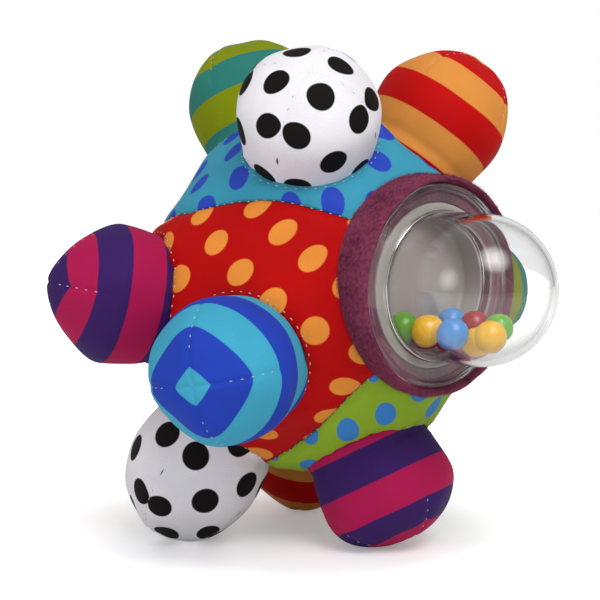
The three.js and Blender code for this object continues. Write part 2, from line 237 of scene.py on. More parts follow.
@dataclass(frozen=True)
class PrintedCloth:
    """Smooth woven cloth with a printed figure in a second colour."""

    name: str
    ground: str
    figure: str
    pattern: Pattern
    pitch: float = 14.2 * MM
    dot_radius: float = 3.85 * MM
    offset: tuple[float, float] = (0.0, 0.0)
    turn: float = 0.0
    band: float = 10.8 * MM
    thread: float = 0.42 * MM
    edge: float = 0.16 * MM
    wander: float = 0.35 * MM

    def _dots(self, bench: NodeBench, spot: Socket) -> Socket:
        """Returns a mask of staggered dots.

        Args:
            bench: the material's nodes.
            spot: the place on the cloth, in metres.

        Returns:
            1 inside a dot and 0 outside.
        """
        cell = (self.pitch * math.sqrt(2), self.pitch * math.sqrt(2), 0.0)
        turned = bench.add("ShaderNodeMapping", {
            "Vector": spot,
            "Location": (*self.offset, 0.0),
            "Rotation": (0, 0, math.radians(self.turn)),
        })
        share = bench.vector("DIVIDE", turned.outputs[0], (cell[0], cell[1], 1.0))
        gaps = []
        for shift in (0.0, 0.5):
            moved = bench.vector("ADD", share, (shift, shift, 0.0))
            inside = bench.vector("SUBTRACT", bench.vector("FRACTION", moved), (0.5, 0.5, 0.0))
            spread = bench.vector("MULTIPLY", inside, cell)
            gaps.append(bench.length(spread))
        gap = bench.math("MINIMUM", *gaps)
        return bench.remap(gap, (self.dot_radius - self.edge, self.dot_radius + self.edge), (1.0, 0.0))

    def _stripes(self, bench: NodeBench, spot: Socket) -> Socket:
        """Returns a mask of even stripes, 0 on the first one.

        Args:
            bench: the material's nodes.
            spot: the place on the cloth, in metres, with the distance from the tip in y.

        Returns:
            1 on every second stripe.
        """
        along = bench.add("ShaderNodeSeparateXYZ", {0: spot}).outputs["Y"]
        shifted = bench.math("SUBTRACT", along, self.band / 2)
        swing = bench.math("PINGPONG", shifted, self.band)
        return bench.remap(swing, (self.band / 2 - self.edge, self.band / 2 + self.edge), (0.0, 1.0))

    def material(self) -> bpy.types.Material:
        """Returns the cloth's material, which reads the cloth's own UV map in metres."""
        bench = NodeBench(self.name)
        spot = bench.add("ShaderNodeUVMap", uv_map=CLOTH_UV).outputs[0]
        place = bench.place()
        noise = bench.add("ShaderNodeTexNoise", {"Vector": place, "Scale": 90.0, "Detail": 1.0})
        drift = bench.vector("SUBTRACT", noise.outputs["Color"], (0.5, 0.5, 0.5))
        drift = bench.vector("MULTIPLY", drift, (self.wander, self.wander, 0.0))
        wandered = bench.vector("ADD", spot, drift)
        figured = self._dots if self.pattern is Pattern.DOTS else self._stripes
        mask = figured(bench, wandered)
        print_colour = bench.blend(mask, paint(self.ground), paint(self.figure))
        parts = bench.add("ShaderNodeSeparateXYZ", {0: spot})
        waves = [bench.math("SINE", bench.math("MULTIPLY", parts.outputs[i], 2 * math.pi / self.thread))
                 for i in (0, 1)]
        weave = bench.math("MULTIPLY", *waves)
        cloud = bench.noise(place, 55.0, 3.0)
        slub = bench.noise(spot, 2600.0, 2.0)
        patches = bench.remap(cloud, (0.3, 0.7), (0.93, 1.04))
        tone = bench.math("ADD", patches, bench.remap(slub, (0.3, 0.7), (-0.05, 0.05)))
        shade = bench.math("ADD", tone, bench.math("MULTIPLY", weave, 0.025))
        colour = bench.shaded(print_colour, shade)
        relief = bench.math("ADD", weave, bench.math("MULTIPLY", slub, 0.8))
        shader = bench.add("ShaderNodeBsdfPrincipled", {
            "Base Color": colour,
            "Roughness": bench.remap(cloud, (0.3, 0.7), (0.58, 0.72)),
            "Specular IOR Level": 0.08,
            "Sheen Weight": 0.015,
            "Sheen Roughness": 0.45,
            "Normal": bench.bump(relief, 0.25, 0.06 * MM),
        })
        return bench.finish(shader)


@dataclass(frozen=True)
class Velour:
    """Short-piled velour, with painted shade down in the pile and a lighter colour for the lit tips, placed
    by noise.
    """

    name: str
    pile_shade: str
    lit_tips: str

    def material(self) -> bpy.types.Material:
        """Returns the velour's material."""
        bench = NodeBench(self.name)
        place = bench.place()
        tuft = bench.noise(place, 900.0, 3.0)
        patch = bench.noise(place, 120.0, 3.0)
        mixed = bench.math("ADD", bench.math("MULTIPLY", tuft, 0.6), bench.math("MULTIPLY", patch, 0.5))
        lit = bench.remap(mixed, (0.35, 0.75), (0.0, 1.0))
        # Painted shade and light: noise mixes a painted shade colour for the depths of the pile with a
        # lighter colour for the lit tips.
        colour = bench.blend(lit, paint(self.pile_shade), paint(self.lit_tips))
        shader = bench.add("ShaderNodeBsdfPrincipled", {
            "Base Color": colour,
            "Roughness": bench.remap(patch, (0.3, 0.7), (0.85, 1.0)),
            "Specular IOR Level": 0.1,
            "Sheen Weight": 0.5,
            "Sheen Roughness": 0.35,
            "Sheen Tint": paint("9a5068"),
            "Normal": bench.bump(tuft, 0.6, 0.3 * MM),
        })
        return bench.finish(shader)


@dataclass(frozen=True)
class ClearPlastic:
    """Clear moulded plastic with faint handling smears."""

    name: str
    tint: str
    index: float = 1.49

    def material(self) -> bpy.types.Material:
        """Returns the clear plastic's material."""
        bench = NodeBench(self.name)
        smear = bench.noise(bench.place(), 45.0, 4.0)
        tinted = bench.remap(smear, (0.3, 0.8), (0.0, 0.25))
        colour = bench.blend(tinted, paint("ffffff"), paint(self.tint))
        shader = bench.add("ShaderNodeBsdfPrincipled", {
            "Base Color": colour,
            "Roughness": bench.remap(smear, (0.45, 0.8), (0.0, 0.035)),
            "IOR": self.index,
            "Transmission Weight": 1.0,
        })
        return bench.finish(shader)


@dataclass(frozen=True)
class MouldedPlastic:
    """Coloured moulded plastic: a soft gloss, a faint flow mark and fine scuffs."""

    name: str
    colour: str
    roughness: float
    glow: float = 0.0

    def material(self) -> bpy.types.Material:
        """Returns the plastic's material."""
        bench = NodeBench(self.name)
        place = bench.place()
        flow = bench.noise(place, 70.0, 3.0)
        scuff = bench.noise(place, 1500.0, 2.0)
        shade = bench.remap(flow, (0.3, 0.7), (0.95, 1.04))
        colour = bench.shaded(paint(self.colour), shade)
        shader = bench.add("ShaderNodeBsdfPrincipled", {
            "Base Color": colour,
            "Roughness": bench.remap(scuff, (0.3, 0.7), (self.roughness * 0.8, self.roughness * 1.3)),
            "Subsurface Weight": self.glow,
            "Subsurface Radius": (1.0, 0.8, 0.6),
            "Subsurface Scale": 1.5 * MM,
            "Normal": bench.bump(scuff, 0.08, 0.05 * MM),
        })
        return bench.finish(shader)


@dataclass(frozen=True)
class SpunFibre:
    """Sewing thread and stuffing: matt spun fibre."""

    name: str
    colour: str

    def material(self) -> bpy.types.Material:
        """Returns the fibre's material."""
        bench = NodeBench(self.name)
        strand = bench.noise(bench.place(), 1800.0, 2.0)
        shade = bench.remap(strand, (0.3, 0.7), (0.86, 1.05))
        colour = bench.shaded(paint(self.colour), shade)
        shader = bench.add("ShaderNodeBsdfPrincipled", {
            "Base Color": colour,
            "Roughness": bench.remap(strand, (0.3, 0.7), (0.7, 0.9)),
            "Sheen Weight": 0.2,
            "Normal": bench.bump(strand, 0.3, 0.05 * MM),
        })
        return bench.finish(shader)


Finish = PrintedCloth | Velour | ClearPlastic | MouldedPlastic | SpunFibre


@cache
def dressed(finish: Finish) -> bpy.types.Material:
    """Returns a finish's material, made once for all the pieces that share it."""
    return finish.material()


# Meshes

def make_piece(name: str, points: np.ndarray, faces: list[tuple[int, ...]],
               material: bpy.types.Material) -> bpy.types.Object:
    """Makes a smooth mesh piece at the origin.

    Args:
        name: the piece's name.
        points: its points in the shared frame, in metres.
        faces: corners of its faces, turning left as seen from outside.
        material: its finish.

    Returns:
        The new object.
    """
    mesh = bpy.data.meshes.new(name)
    mesh.from_pydata(points.tolist(), [], faces)
    mesh.validate()
    mesh.shade_smooth()
    mesh.materials.append(material)
    piece = bpy.data.objects.new(name, mesh)
    bpy.context.scene.collection.objects.link(piece)
    return piece


def give_uv(piece: bpy.types.Object, corners: np.ndarray) -> None:
    """Stores the cloth's flat pattern, one place in metres for each face corner."""
    layer = piece.data.uv_layers.new(name=CLOTH_UV)
    layer.data.foreach_set("uv", corners.astype(np.float32).ravel())


def coordinates(mesh: bpy.types.Mesh) -> np.ndarray:
    """Returns a mesh's points as rows."""
    flat = np.empty(len(mesh.vertices) * 3, np.float32)
    mesh.vertices.foreach_get("co", flat)
    return flat.reshape(-1, 3).astype(float)


def ring_faces(rows: int, columns: int, closed: bool = False) -> list[tuple[int, ...]]:
    """Joins rings of points with four-sided faces.

    Args:
        rows: number of rings.
        columns: points in each ring, which runs round.
        closed: whether the last ring joins the first.

    Returns:
        The faces.
    """
    faces = []
    for j in range(rows if closed else rows - 1):
        for i in range(columns):
            k = (i + 1) % columns
            below = j * columns
            above = ((j + 1) % rows) * columns
            faces.append((below + i, below + k, above + k, above + i))
    return faces


def grid_normals(grid: np.ndarray) -> np.ndarray:
    """Returns unit normals of a grid of points, whose rows are rings."""
    round_step = np.roll(grid, -1, axis=1) - np.roll(grid, 1, axis=1)
    long_step = np.gradient(grid, axis=0)
    return unit(np.cross(round_step, long_step) + 1e-15)


def arc(centre: tuple[float, float], radius: float, start: float, end: float, steps: int) -> list[tuple]:
    """Gives points of an arc in a profile.

    Args:
        centre: the arc's centre, as distance from the axis and along it.
        radius: its radius.
        start: angle of the first point, in degrees.
        end: angle of the last point, in degrees.
        steps: number of steps between them.

    Returns:
        The points.
    """
    angles = np.radians(np.linspace(start, end, steps + 1))
    return [(centre[0] + radius * math.cos(a), centre[1] + radius * math.sin(a)) for a in angles]


def guarded(
    profile: list[tuple[float, float]], reach: float = 0.3 * MM, least: float = 1.2 * MM,
) -> list[tuple[float, float]]:
    """Adds points near the ends of long straight runs, which keep them flat under smooth shading.

    Args:
        profile: radius and height of each point, in metres.
        reach: distance of the added points from the ends of a run.
        least: shortest run that gets them.

    Returns:
        The profile with the added points.
    """
    result = [profile[0]]
    for start, end in zip(profile, profile[1:]):
        run = (end[0] - start[0], end[1] - start[1])
        length = math.hypot(*run)
        if length > least:
            share = reach / length
            result.append((start[0] + run[0] * share, start[1] + run[1] * share))
            result.append((end[0] - run[0] * share, end[1] - run[1] * share))
        result.append(end)
    return result


@dataclass(frozen=True)
class DomeAxis:
    """The axis of the rattle dome, a little over the ball's middle, and the axis of the gores."""

    turn: float = 41.8
    height: float = -1.5
    gore_height: float = 4.2
    reach: float = 92.5 * MM
    lift: float = 6.0 * MM

    @property
    def axis(self) -> np.ndarray:
        """The direction that the dome points in."""
        return aim(self.turn, self.height)

    @property
    def gore_axis(self) -> np.ndarray:
        """The direction that the gores turn round."""
        return aim(self.turn, self.gore_height)

    @property
    def origin(self) -> np.ndarray:
        """The place on the dome's axis beside the ball's middle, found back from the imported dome's tip."""
        points = coordinates(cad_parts["clear_dome"].data)
        tip = points[np.argmax(points @ self.axis)]
        return tip - self.axis * self.reach

    @property
    def centre(self) -> np.ndarray:
        """The ball's middle."""
        return self.origin - across(self.axis)[1] * self.lift

    def directions(self, angle: np.ndarray, tilt: np.ndarray) -> np.ndarray:
        """Gives directions from the ball's middle.

        Args:
            angle: degrees round the gores' axis, from level to rising.
            tilt: degrees away from it.

        Returns:
            Unit vectors.
        """
        level, rising = across(self.gore_axis)
        a, t = np.radians(angle)[..., None], np.radians(tilt)[..., None]
        return self.gore_axis * np.cos(t) + np.sin(t) * (level * np.cos(a) + rising * np.sin(a))

    def angles(self, directions: np.ndarray) -> tuple[np.ndarray, np.ndarray]:
        """Returns the angle round the gores' axis and the tilt from it of each direction, in degrees."""
        level, rising = across(self.gore_axis)
        tilt = np.degrees(np.arccos(np.clip(directions @ self.gore_axis, -1, 1)))
        return np.degrees(np.arctan2(directions @ rising, directions @ level)), tilt

    def spokes(self, sides: int) -> np.ndarray:
        """Returns unit vectors across the dome's axis, all round."""
        level, rising = across(self.axis)
        angles = np.linspace(0, 2 * math.pi, sides, endpoint=False)
        return np.outer(np.cos(angles), level) + np.outer(np.sin(angles), rising)

    def lathe(self, name: str, profile: list[tuple], sides: int, material: bpy.types.Material,
              closed: bool = False) -> bpy.types.Object:
        """Turns a profile round the dome's axis.

        Args:
            name: the piece's name.
            profile: points as distance from the axis and along it from the axis's origin.
            sides: steps round the axis.
            material: the piece's finish.
            closed: whether the profile closes on itself, as a ring's does.

        Returns:
            The piece.
        """
        spokes = self.spokes(sides)
        inner = profile if closed else profile[1:-1]
        rings = [self.origin + self.axis * s + spokes * r for r, s in inner]
        points = np.concatenate(rings)
        faces = ring_faces(len(inner), sides, closed)
        if not closed:
            first, last = len(points), len(points) + 1
            ends = [self.origin + self.axis * profile[i][1] for i in (0, -1)]
            points = np.concatenate([points, ends])
            top = (len(inner) - 1) * sides
            faces += [(first, (i + 1) % sides, i) for i in range(sides)]
            faces += [(top + i, top + (i + 1) % sides, last) for i in range(sides)]
        return make_piece(name, points, faces, material)


# Padded knobs

@dataclass
class PaddedKnob:
    """A stuffed cloth knob, sewn into the ball, with four darts that meet at its tip."""

    name: str
    seat: tuple[float, float]
    tip: tuple[float, float]
    turn: float
    finish: PrintedCloth
    slot: str
    length: float = 34.0 * MM
    base_radius: float = 20.0 * MM
    belly_radius: float = 21.3 * MM
    belly_height: float = 15.0 * MM
    neck: float = 3.0 * MM
    root: float = 5.0 * MM
    seat_distance: float = 53.37 * MM
    dart_fullness: float = 2.1
    petal_fullness: float = 1.8
    floor_press: float = 0.5 * MM
    dart_depth: float = 0.45 * MM
    dart_width: float = 0.8 * MM
    dimple_depth: float = 0.5 * MM
    print_start: float = 0.0
    flat_crown: tuple[float, float] = (5.0 * MM, 26.0 * MM)
    squareness: float = 0.85
    pinch: float = 0.9 * MM
    petal_steps: int = 22
    seed: int = 1

    def __post_init__(self) -> None:
        """Works out where the knob stands."""
        centre = DomeAxis().centre
        self.foot = centre + aim(*self.seat) * self.seat_distance
        peak = centre + aim(*self.tip) * (self.seat_distance + self.length)
        self.axis = unit(peak - self.foot)
        self.height = float(np.linalg.norm(peak - self.foot))
        self.level, self.rising = across(self.axis)
        if self.name.startswith("foot_"):
            self._stand()

    def _stand(self) -> None:
        """Makes a foot as long as it takes to press its flat into the floor."""
        for _ in range(5):
            lowest = self.surface()[..., 2].min()
            self.height += (lowest + self.floor_press) / -self.axis[2]

    def radius_at(self, height: np.ndarray, from_dart: np.ndarray) -> np.ndarray:
        """Gives the knob's radius, which is fuller along the darts than between them.

        Args:
            height: distance over the seat, in metres.
            from_dart: angle from a dart, in radians.

        Returns:
            The radius, in metres.
        """
        fullness = self.petal_fullness
        fullness = fullness + (self.dart_fullness - fullness) * (1 + np.cos(4 * from_dart)) / 2
        rise = np.clip((height - self.belly_height) / (self.height - self.belly_height), 0, 1)
        crown = self.belly_radius * np.maximum(0, 1 - rise ** fullness) ** (1 / fullness)
        swell = np.clip((height - self.neck) / (self.belly_height - self.neck), 0, 1)
        tube = self.base_radius + (self.belly_radius - self.base_radius) * np.sin(swell * math.pi / 2)
        return np.where(height <= self.belly_height, tube, crown)

    def off_axis(self, points: np.ndarray) -> tuple[np.ndarray, np.ndarray, np.ndarray]:
        """Returns each point's height over the seat, its distance from the axis and the way out there."""
        away = points - self.foot
        height = away @ self.axis
        out = away - height[..., None] * self.axis
        return height, np.linalg.norm(out, axis=-1), unit(out + 1e-12)

    def push_out(self, points: np.ndarray, gap: float) -> np.ndarray:
        """Returns the points, with those inside this knob moved out to its skin and a gap beyond."""
        height, distance, out = self.off_axis(points)
        angle = np.arctan2(out @ self.rising, out @ self.level) - math.radians(self.turn)
        room = self.radius_at(height, angle) + gap
        inside = (height > -self.root) & (height < self.height) & (distance < room)
        return np.where(inside[:, None], points + out * (room - distance)[:, None], points)

    def _heights(self) -> np.ndarray:
        """Returns the heights of the rings, from the root to just under the tip."""
        tube = np.linspace(0, self.belly_height, 13)
        crown = np.sin(np.radians(np.linspace(0, 90, 26)))[1:-1]
        return np.concatenate([
            [-self.root, -self.root / 2], tube,
            self.belly_height + (self.height - self.belly_height) * crown])

    def _petal_angles(self) -> np.ndarray:
        """Returns angles from a petal's middle to its darts, closer together at the darts, in radians."""
        share = np.linspace(-1, 1, self.petal_steps + 1)
        return math.radians(45) * (0.55 * share + 0.45 * np.sin(share * math.pi / 2))

    def surface(self) -> np.ndarray:
        """Returns the grid of the knob's points: rings from root to tip, each running round."""
        heights = self._heights()[:, None]
        petal = self._petal_angles()[:-1]
        from_dart = np.concatenate([k * math.pi / 2 + math.pi / 4 + petal for k in range(4)])[None, :]
        angle = from_dart + math.radians(self.turn)
        radius = self.radius_at(heights, from_dart)
        gathers = Ripple(self.seed, 0.9).at(np.stack(np.broadcast_arrays(
            np.cos(angle) * 4, np.sin(angle) * 4, heights * 0), -1))
        radius = radius - self.pinch * np.exp(-(heights / (1.7 * MM)) ** 2)
        radius = radius + 0.22 * MM * gathers * np.exp(-np.abs(heights) / (4 * MM))
        out = self.level * np.cos(angle)[..., None] + self.rising * np.sin(angle)[..., None]
        grid = self.foot + self.axis * heights[..., None] + out * radius[..., None]
        rise = (heights - self.belly_height) / (self.height - self.belly_height)
        to_dart = np.abs((from_dart + math.pi / 4) % (math.pi / 2) - math.pi / 4) * radius
        groove = self.dart_depth * np.exp(-(to_dart / self.dart_width) ** 2) * ease(-0.1, 0.4, rise)
        dimple = self.dimple_depth * np.exp(-(radius / (2.4 * MM)) ** 2) * (rise > 0.5)
        uneven = 0.2 * MM * Ripple(self.seed + 50, 16 * MM).at(grid) * ease(0, 5 * MM, heights)
        grid = grid + grid_normals(grid) * (uneven - groove)[..., None]
        return grid - self.axis * dimple[..., None]

    def _flat_pattern(self) -> tuple[np.ndarray, np.ndarray]:
        """Lays the knob's cloth flat.

        Each petal lies flat round the tip, so that stripes meet square at the darts, and turns into
        a plain tube further down.

        Returns:
            Places round and distances from the tip, in metres, for each ring and petal angle.
        """
        petal = self._petal_angles()[None, :]
        heights = self._heights()[:, None]
        radius = self.radius_at(heights, petal + math.pi / 4)
        steps = np.hypot(np.diff(radius, axis=0), np.diff(heights, axis=0))
        last = np.hypot(radius[-1:], self.height - heights[-1:])
        from_tip = np.cumsum(np.concatenate([last, steps[::-1]]), axis=0)[::-1]
        level = from_tip[:, self.petal_steps // 2][:, None]
        tube = ease(self.flat_crown[0], self.flat_crown[1], level)
        belly = int(np.argmin(np.abs(heights[:, 0] - self.belly_height)))
        excess = from_tip[belly] - level[belly]
        along = from_tip - tube * excess - (1 - tube) * self.squareness * from_tip * (1 - np.cos(petal))
        round_place = (1 - tube) * from_tip * np.sin(petal) + tube * radius * petal
        return round_place, along + self.print_start

    def build(self, neighbours: list["PaddedKnob"]) -> bpy.types.Object:
        """Makes the knob's mesh, closed at its root and its tip.

        Args:
            neighbours: knobs sewn in earlier, which this one gives way to.

        Returns:
            The piece.
        """
        grid = self.surface()
        rows, columns = grid.shape[:2]
        points = grid.reshape(-1, 3)
        for other in neighbours:
            points = other.push_out(points, 0.4 * MM)
        top = self.foot + self.axis * (self.height - self.dimple_depth - 0.1 * MM)
        points = np.concatenate([points, [self.foot - self.axis * self.root], [top]])
        root, peak = rows * columns, rows * columns + 1
        last = (rows - 1) * columns
        faces = ring_faces(rows, columns)
        faces += [(root, (i + 1) % columns, i) for i in range(columns)]
        faces += [(last + i, last + (i + 1) % columns, peak) for i in range(columns)]
        self.piece = make_piece(self.name, points, faces, dressed(self.finish))
        give_uv(self.piece, self._corners())
        return self.piece

    def _corners(self) -> np.ndarray:
        """Returns the flat place of every face corner, with the pattern cut at the darts."""
        round_place, along = self._flat_pattern()
        rows = len(along)
        cell = self.finish.pitch * math.sqrt(2)
        side = cell * round(self.belly_radius * math.pi / 2 / cell)
        corners = []
        for j in range(rows - 1):
            for i in range(4 * self.petal_steps):
                petal, step = divmod(i, self.petal_steps)
                for row, place in ((j, step), (j, step + 1), (j + 1, step + 1), (j + 1, step)):
                    corners.append((round_place[row, place] + side * petal, along[row, place]))
        for i in range(4 * self.petal_steps):
            corners += [(0.0, along[0, 0])] * 3
        for i in range(4 * self.petal_steps):
            petal, step = divmod(i, self.petal_steps)
            for place in (step, step + 1):
                corners.append((round_place[-1, place] + side * petal, along[-1, place]))
            corners.append((side * petal, self.print_start))
        return np.array(corners)

    def pins(self) -> np.ndarray:
        """Returns how firmly each point is held while the stuffing swells the cloth, from 0 to 1."""
        heights = self._heights()[:, None]
        columns = np.arange(4 * self.petal_steps)[None, :] % self.petal_steps
        at_dart = (columns == 0) & (heights > self.belly_height)
        held = (heights <= 1.0 * MM) | at_dart
        return np.concatenate([held.ravel().astype(float), [1.0, 1.0]])

    def dart_lines(self) -> list[np.ndarray]:
        """Returns the paths of the stitches that close the darts near the tip."""
        grid = self.surface()
        heights = self._heights()
        rise = (heights - self.belly_height) / (self.height - self.belly_height)
        rows = np.where((rise > 0.4) & (rise < 0.9))[0]
        normals = grid_normals(grid)
        lines = []
        for k in range(4):
            column = k * self.petal_steps
            lines.append(grid[rows, column] + normals[rows, column] * 0.05 * MM)
        return lines

    def settle(self) -> None:
        points = coordinates(self.piece.data)
        soft = 0.35 * MM
        points[:, 2] = (points[:, 2] + np.sqrt(points[:, 2] ** 2 + soft ** 2)) / 2
        self.piece.data.vertices.foreach_set("co", points.astype(np.float32).ravel())
        smoother = self.piece.modifiers.new("Smooth cloth", "SUBSURF")
        smoother.levels = smoother.render_levels = 1
        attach(self.piece, BALL_BODY)
        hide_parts(self.name)


# The ball's cloth

@dataclass
class BallCloth:
    """The ball's skin of four gores, drawn up to each knob and pulled in along its seams."""

    knobs: list[PaddedKnob]
    dome: DomeAxis = field(default_factory=DomeAxis)
    radius: float = 52.5 * MM
    tent_height: float = 4.5 * MM
    tent_sharpness: float = 15.7
    collar_tent: float = 2.5 * MM
    collar_radius: float = 32.75 * MM
    dome_seat: float = 52.0 * MM
    seam_near: tuple[float, ...] = (38.0, 133.0, 221.0, 318.0)
    seam_far: tuple[float, ...] = (66.0, 150.0, 247.0, 330.0)
    seam_waist: float = 95.0
    mouth_tilt: float = 33.3
    end_tilt: float = 168.0
    seam_depth: float = 1.1 * MM
    seam_width: float = 1.7 * MM
    thickness: float = 0.9 * MM

    def seam_angle(self, index: int, tilt: np.ndarray) -> np.ndarray:
        """Returns a seam's angle round the gores' axis at each tilt, in degrees."""
        near, far = self.seam_near[index], self.seam_far[index]
        return near + (far - near) * np.clip(tilt / self.seam_waist, 0, 1)

    def reach(self, directions: np.ndarray) -> np.ndarray:
        """Returns the distance of the smooth skin from the ball's middle."""
        collar = unit(self.dome.origin + self.dome.axis * self.dome_seat - self.dome.centre)
        seats = [(collar, self.collar_radius, self.collar_tent)]
        seats += [(aim(*knob.seat), knob.base_radius, self.tent_height) for knob in self.knobs]
        total = np.full(directions.shape[:-1], self.radius)
        for way, edge, height in seats:
            cosine = math.sqrt(1 - (edge / (self.radius + height)) ** 2)
            away = np.maximum(0, cosine - directions @ way)
            total = total + height * np.exp(-self.tent_sharpness * away)
        return total

    def seam_gap(self, directions: np.ndarray) -> np.ndarray:
        """Returns the distance to the nearest seam between gores."""
        angle, tilt = self.dome.angles(directions)
        gaps = []
        for index in range(len(self.seam_near)):
            apart = (angle - self.seam_angle(index, tilt) + 180) % 360 - 180
            gaps.append(np.abs(np.radians(apart)) * self.radius * np.sin(np.radians(tilt)))
        return np.min(gaps, axis=0)

    def knob_gap(self, points: np.ndarray) -> np.ndarray:
        """Returns the distance to the nearest knob's sewn edge, negative inside it."""
        gaps = []
        for knob in self.knobs:
            height, distance, _ = knob.off_axis(points)
            gaps.append(np.where(height > -20 * MM, distance - knob.base_radius, 1.0))
        return np.min(gaps, axis=0)

    def surface(self, directions: np.ndarray) -> np.ndarray:
        """Returns the points of the sewn skin in each direction."""
        smooth = self.dome.centre + directions * self.reach(directions)[..., None]
        seam = self.seam_gap(directions)
        edge = np.maximum(0, self.knob_gap(smooth))
        valley = self.seam_depth * np.exp(-(seam / self.seam_width) ** 2)
        valley = np.maximum(valley, 0.9 * self.seam_depth * np.exp(-(edge / self.seam_width) ** 2))
        pucker = 0.22 * MM * Ripple(7, 5 * MM).at(smooth) * np.exp(-np.minimum(seam, edge) / (4 * MM))
        uneven = 0.4 * MM * Ripple(8, 24 * MM).at(smooth)
        tilt = self.dome.angles(directions)[1]
        depth = (valley - pucker - uneven) * ease(self.mouth_tilt, self.mouth_tilt + 5, tilt)
        return smooth - directions * depth[..., None]

    def seam_lines(self) -> list[np.ndarray]:
        """Returns the paths of the stitches along the seams and round the knobs."""
        lines = []
        tilts = np.linspace(37, 160, 240)
        for index in range(len(self.seam_near)):
            ways = self.dome.directions(self.seam_angle(index, tilts), tilts)
            points = self.surface(ways) + ways * 0.12 * MM
            free = self.knob_gap(points) > 1.5 * MM
            breaks = np.where(np.diff(free.astype(int)) != 0)[0] + 1
            for run, keep in zip(np.split(points, breaks), np.split(free, breaks)):
                if keep[0] and len(run) > 5:
                    lines.append(run)
        for knob in self.knobs:
            angle = np.linspace(0, 2 * math.pi, 181)[:, None]
            ring = knob.foot + (knob.base_radius + 0.55 * MM) * (
                knob.level * np.cos(angle) + knob.rising * np.sin(angle))
            ways = unit(ring - self.dome.centre)
            lines.append(self.surface(ways) + ways * 0.1 * MM)
        return lines


@dataclass
class Gore:
    """One gore of the ball's cloth, from one seam to the next."""

    name: str
    first_seam: int
    last_seam: int
    finish: PrintedCloth
    slot: str
    cloth: BallCloth
    rows: int = 104
    columns: int = 72

    def _grid(self) -> tuple[np.ndarray, np.ndarray, np.ndarray]:
        """Returns the directions of the gore's grid and its flat places round and along, in metres."""
        tilt = np.linspace(self.cloth.mouth_tilt, self.cloth.end_tilt, self.rows)[:, None]
        start = self.cloth.seam_angle(self.first_seam, tilt)
        width = (self.cloth.seam_angle(self.last_seam, tilt) - start) % 360
        share = np.linspace(0, 1, self.columns)[None, :]
        share = 0.5 - (0.75 * (0.5 - share) + 0.125 * np.cos(share * math.pi))
        trim = np.degrees(0.12 * MM / (self.cloth.radius * np.sin(np.radians(tilt))))
        angle = start + trim + (width - 2 * trim) * share
        middle = (start + width / 2).mean()
        apart = np.radians(angle - middle)
        place = apart * self.cloth.radius * np.sin(np.radians(tilt))
        along = np.broadcast_to(np.radians(tilt) * self.cloth.radius, place.shape)
        return self.cloth.dome.directions(angle, np.broadcast_to(tilt, angle.shape)), place, along

    def build(self) -> bpy.types.Object:
        """Makes the gore's mesh, with a round hole for each knob.

        Returns:
            The piece.
        """
        ways, place, along = self._grid()
        ways = ways.reshape(-1, 3)
        centre = self.cloth.dome.centre
        points = centre + ways * self.cloth.reach(ways)[:, None]
        inside = self.cloth.knob_gap(points) < 0
        for knob in self.cloth.knobs:
            height, distance, out = knob.off_axis(points)
            moved = (distance < knob.base_radius) & (height > -20 * MM)
            pushed = points + out * (knob.base_radius - distance)[:, None]
            points = np.where(moved[:, None], pushed, points)
        ways = unit(points - centre)
        self.skin = self.cloth.surface(ways)
        faces = []
        for j in range(self.rows - 1):
            for i in range(self.columns - 1):
                a = j * self.columns + i
                face = (a, a + self.columns, a + self.columns + 1, a + 1)
                if not all(inside[corner] for corner in face):
                    faces.append(face)
        used = np.unique(np.array(faces))
        number = np.full(len(ways), -1)
        number[used] = np.arange(len(used))
        flat = np.stack([place.ravel(), along.ravel()], -1)
        corners = flat[np.array(faces)].reshape(-1, 2)
        numbered = [tuple(number[list(face)]) for face in faces]
        self.piece = make_piece(self.name, self.skin[used], numbered, dressed(self.finish))
        give_uv(self.piece, corners)
        to_sewing = np.minimum(self.cloth.seam_gap(ways), self.cloth.knob_gap(self.skin))
        self.held = (to_sewing < 1.2 * MM)[used]
        return self.piece

    def pins(self) -> np.ndarray:
        """Returns how firmly each point is held while the stuffing swells the cloth, from 0 to 1."""
        tilt = self.cloth.dome.angles(unit(coordinates(self.piece.data) - self.cloth.dome.centre))[1]
        return (self.held | (tilt < 38) | (tilt > 160)).astype(float)

    def settle(self) -> None:
        wall = self.piece.modifiers.new("Cloth thickness", "SOLIDIFY")
        wall.thickness = self.cloth.thickness
        wall.offset = -1.0
        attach(self.piece, BALL_BODY)
        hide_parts(self.name)


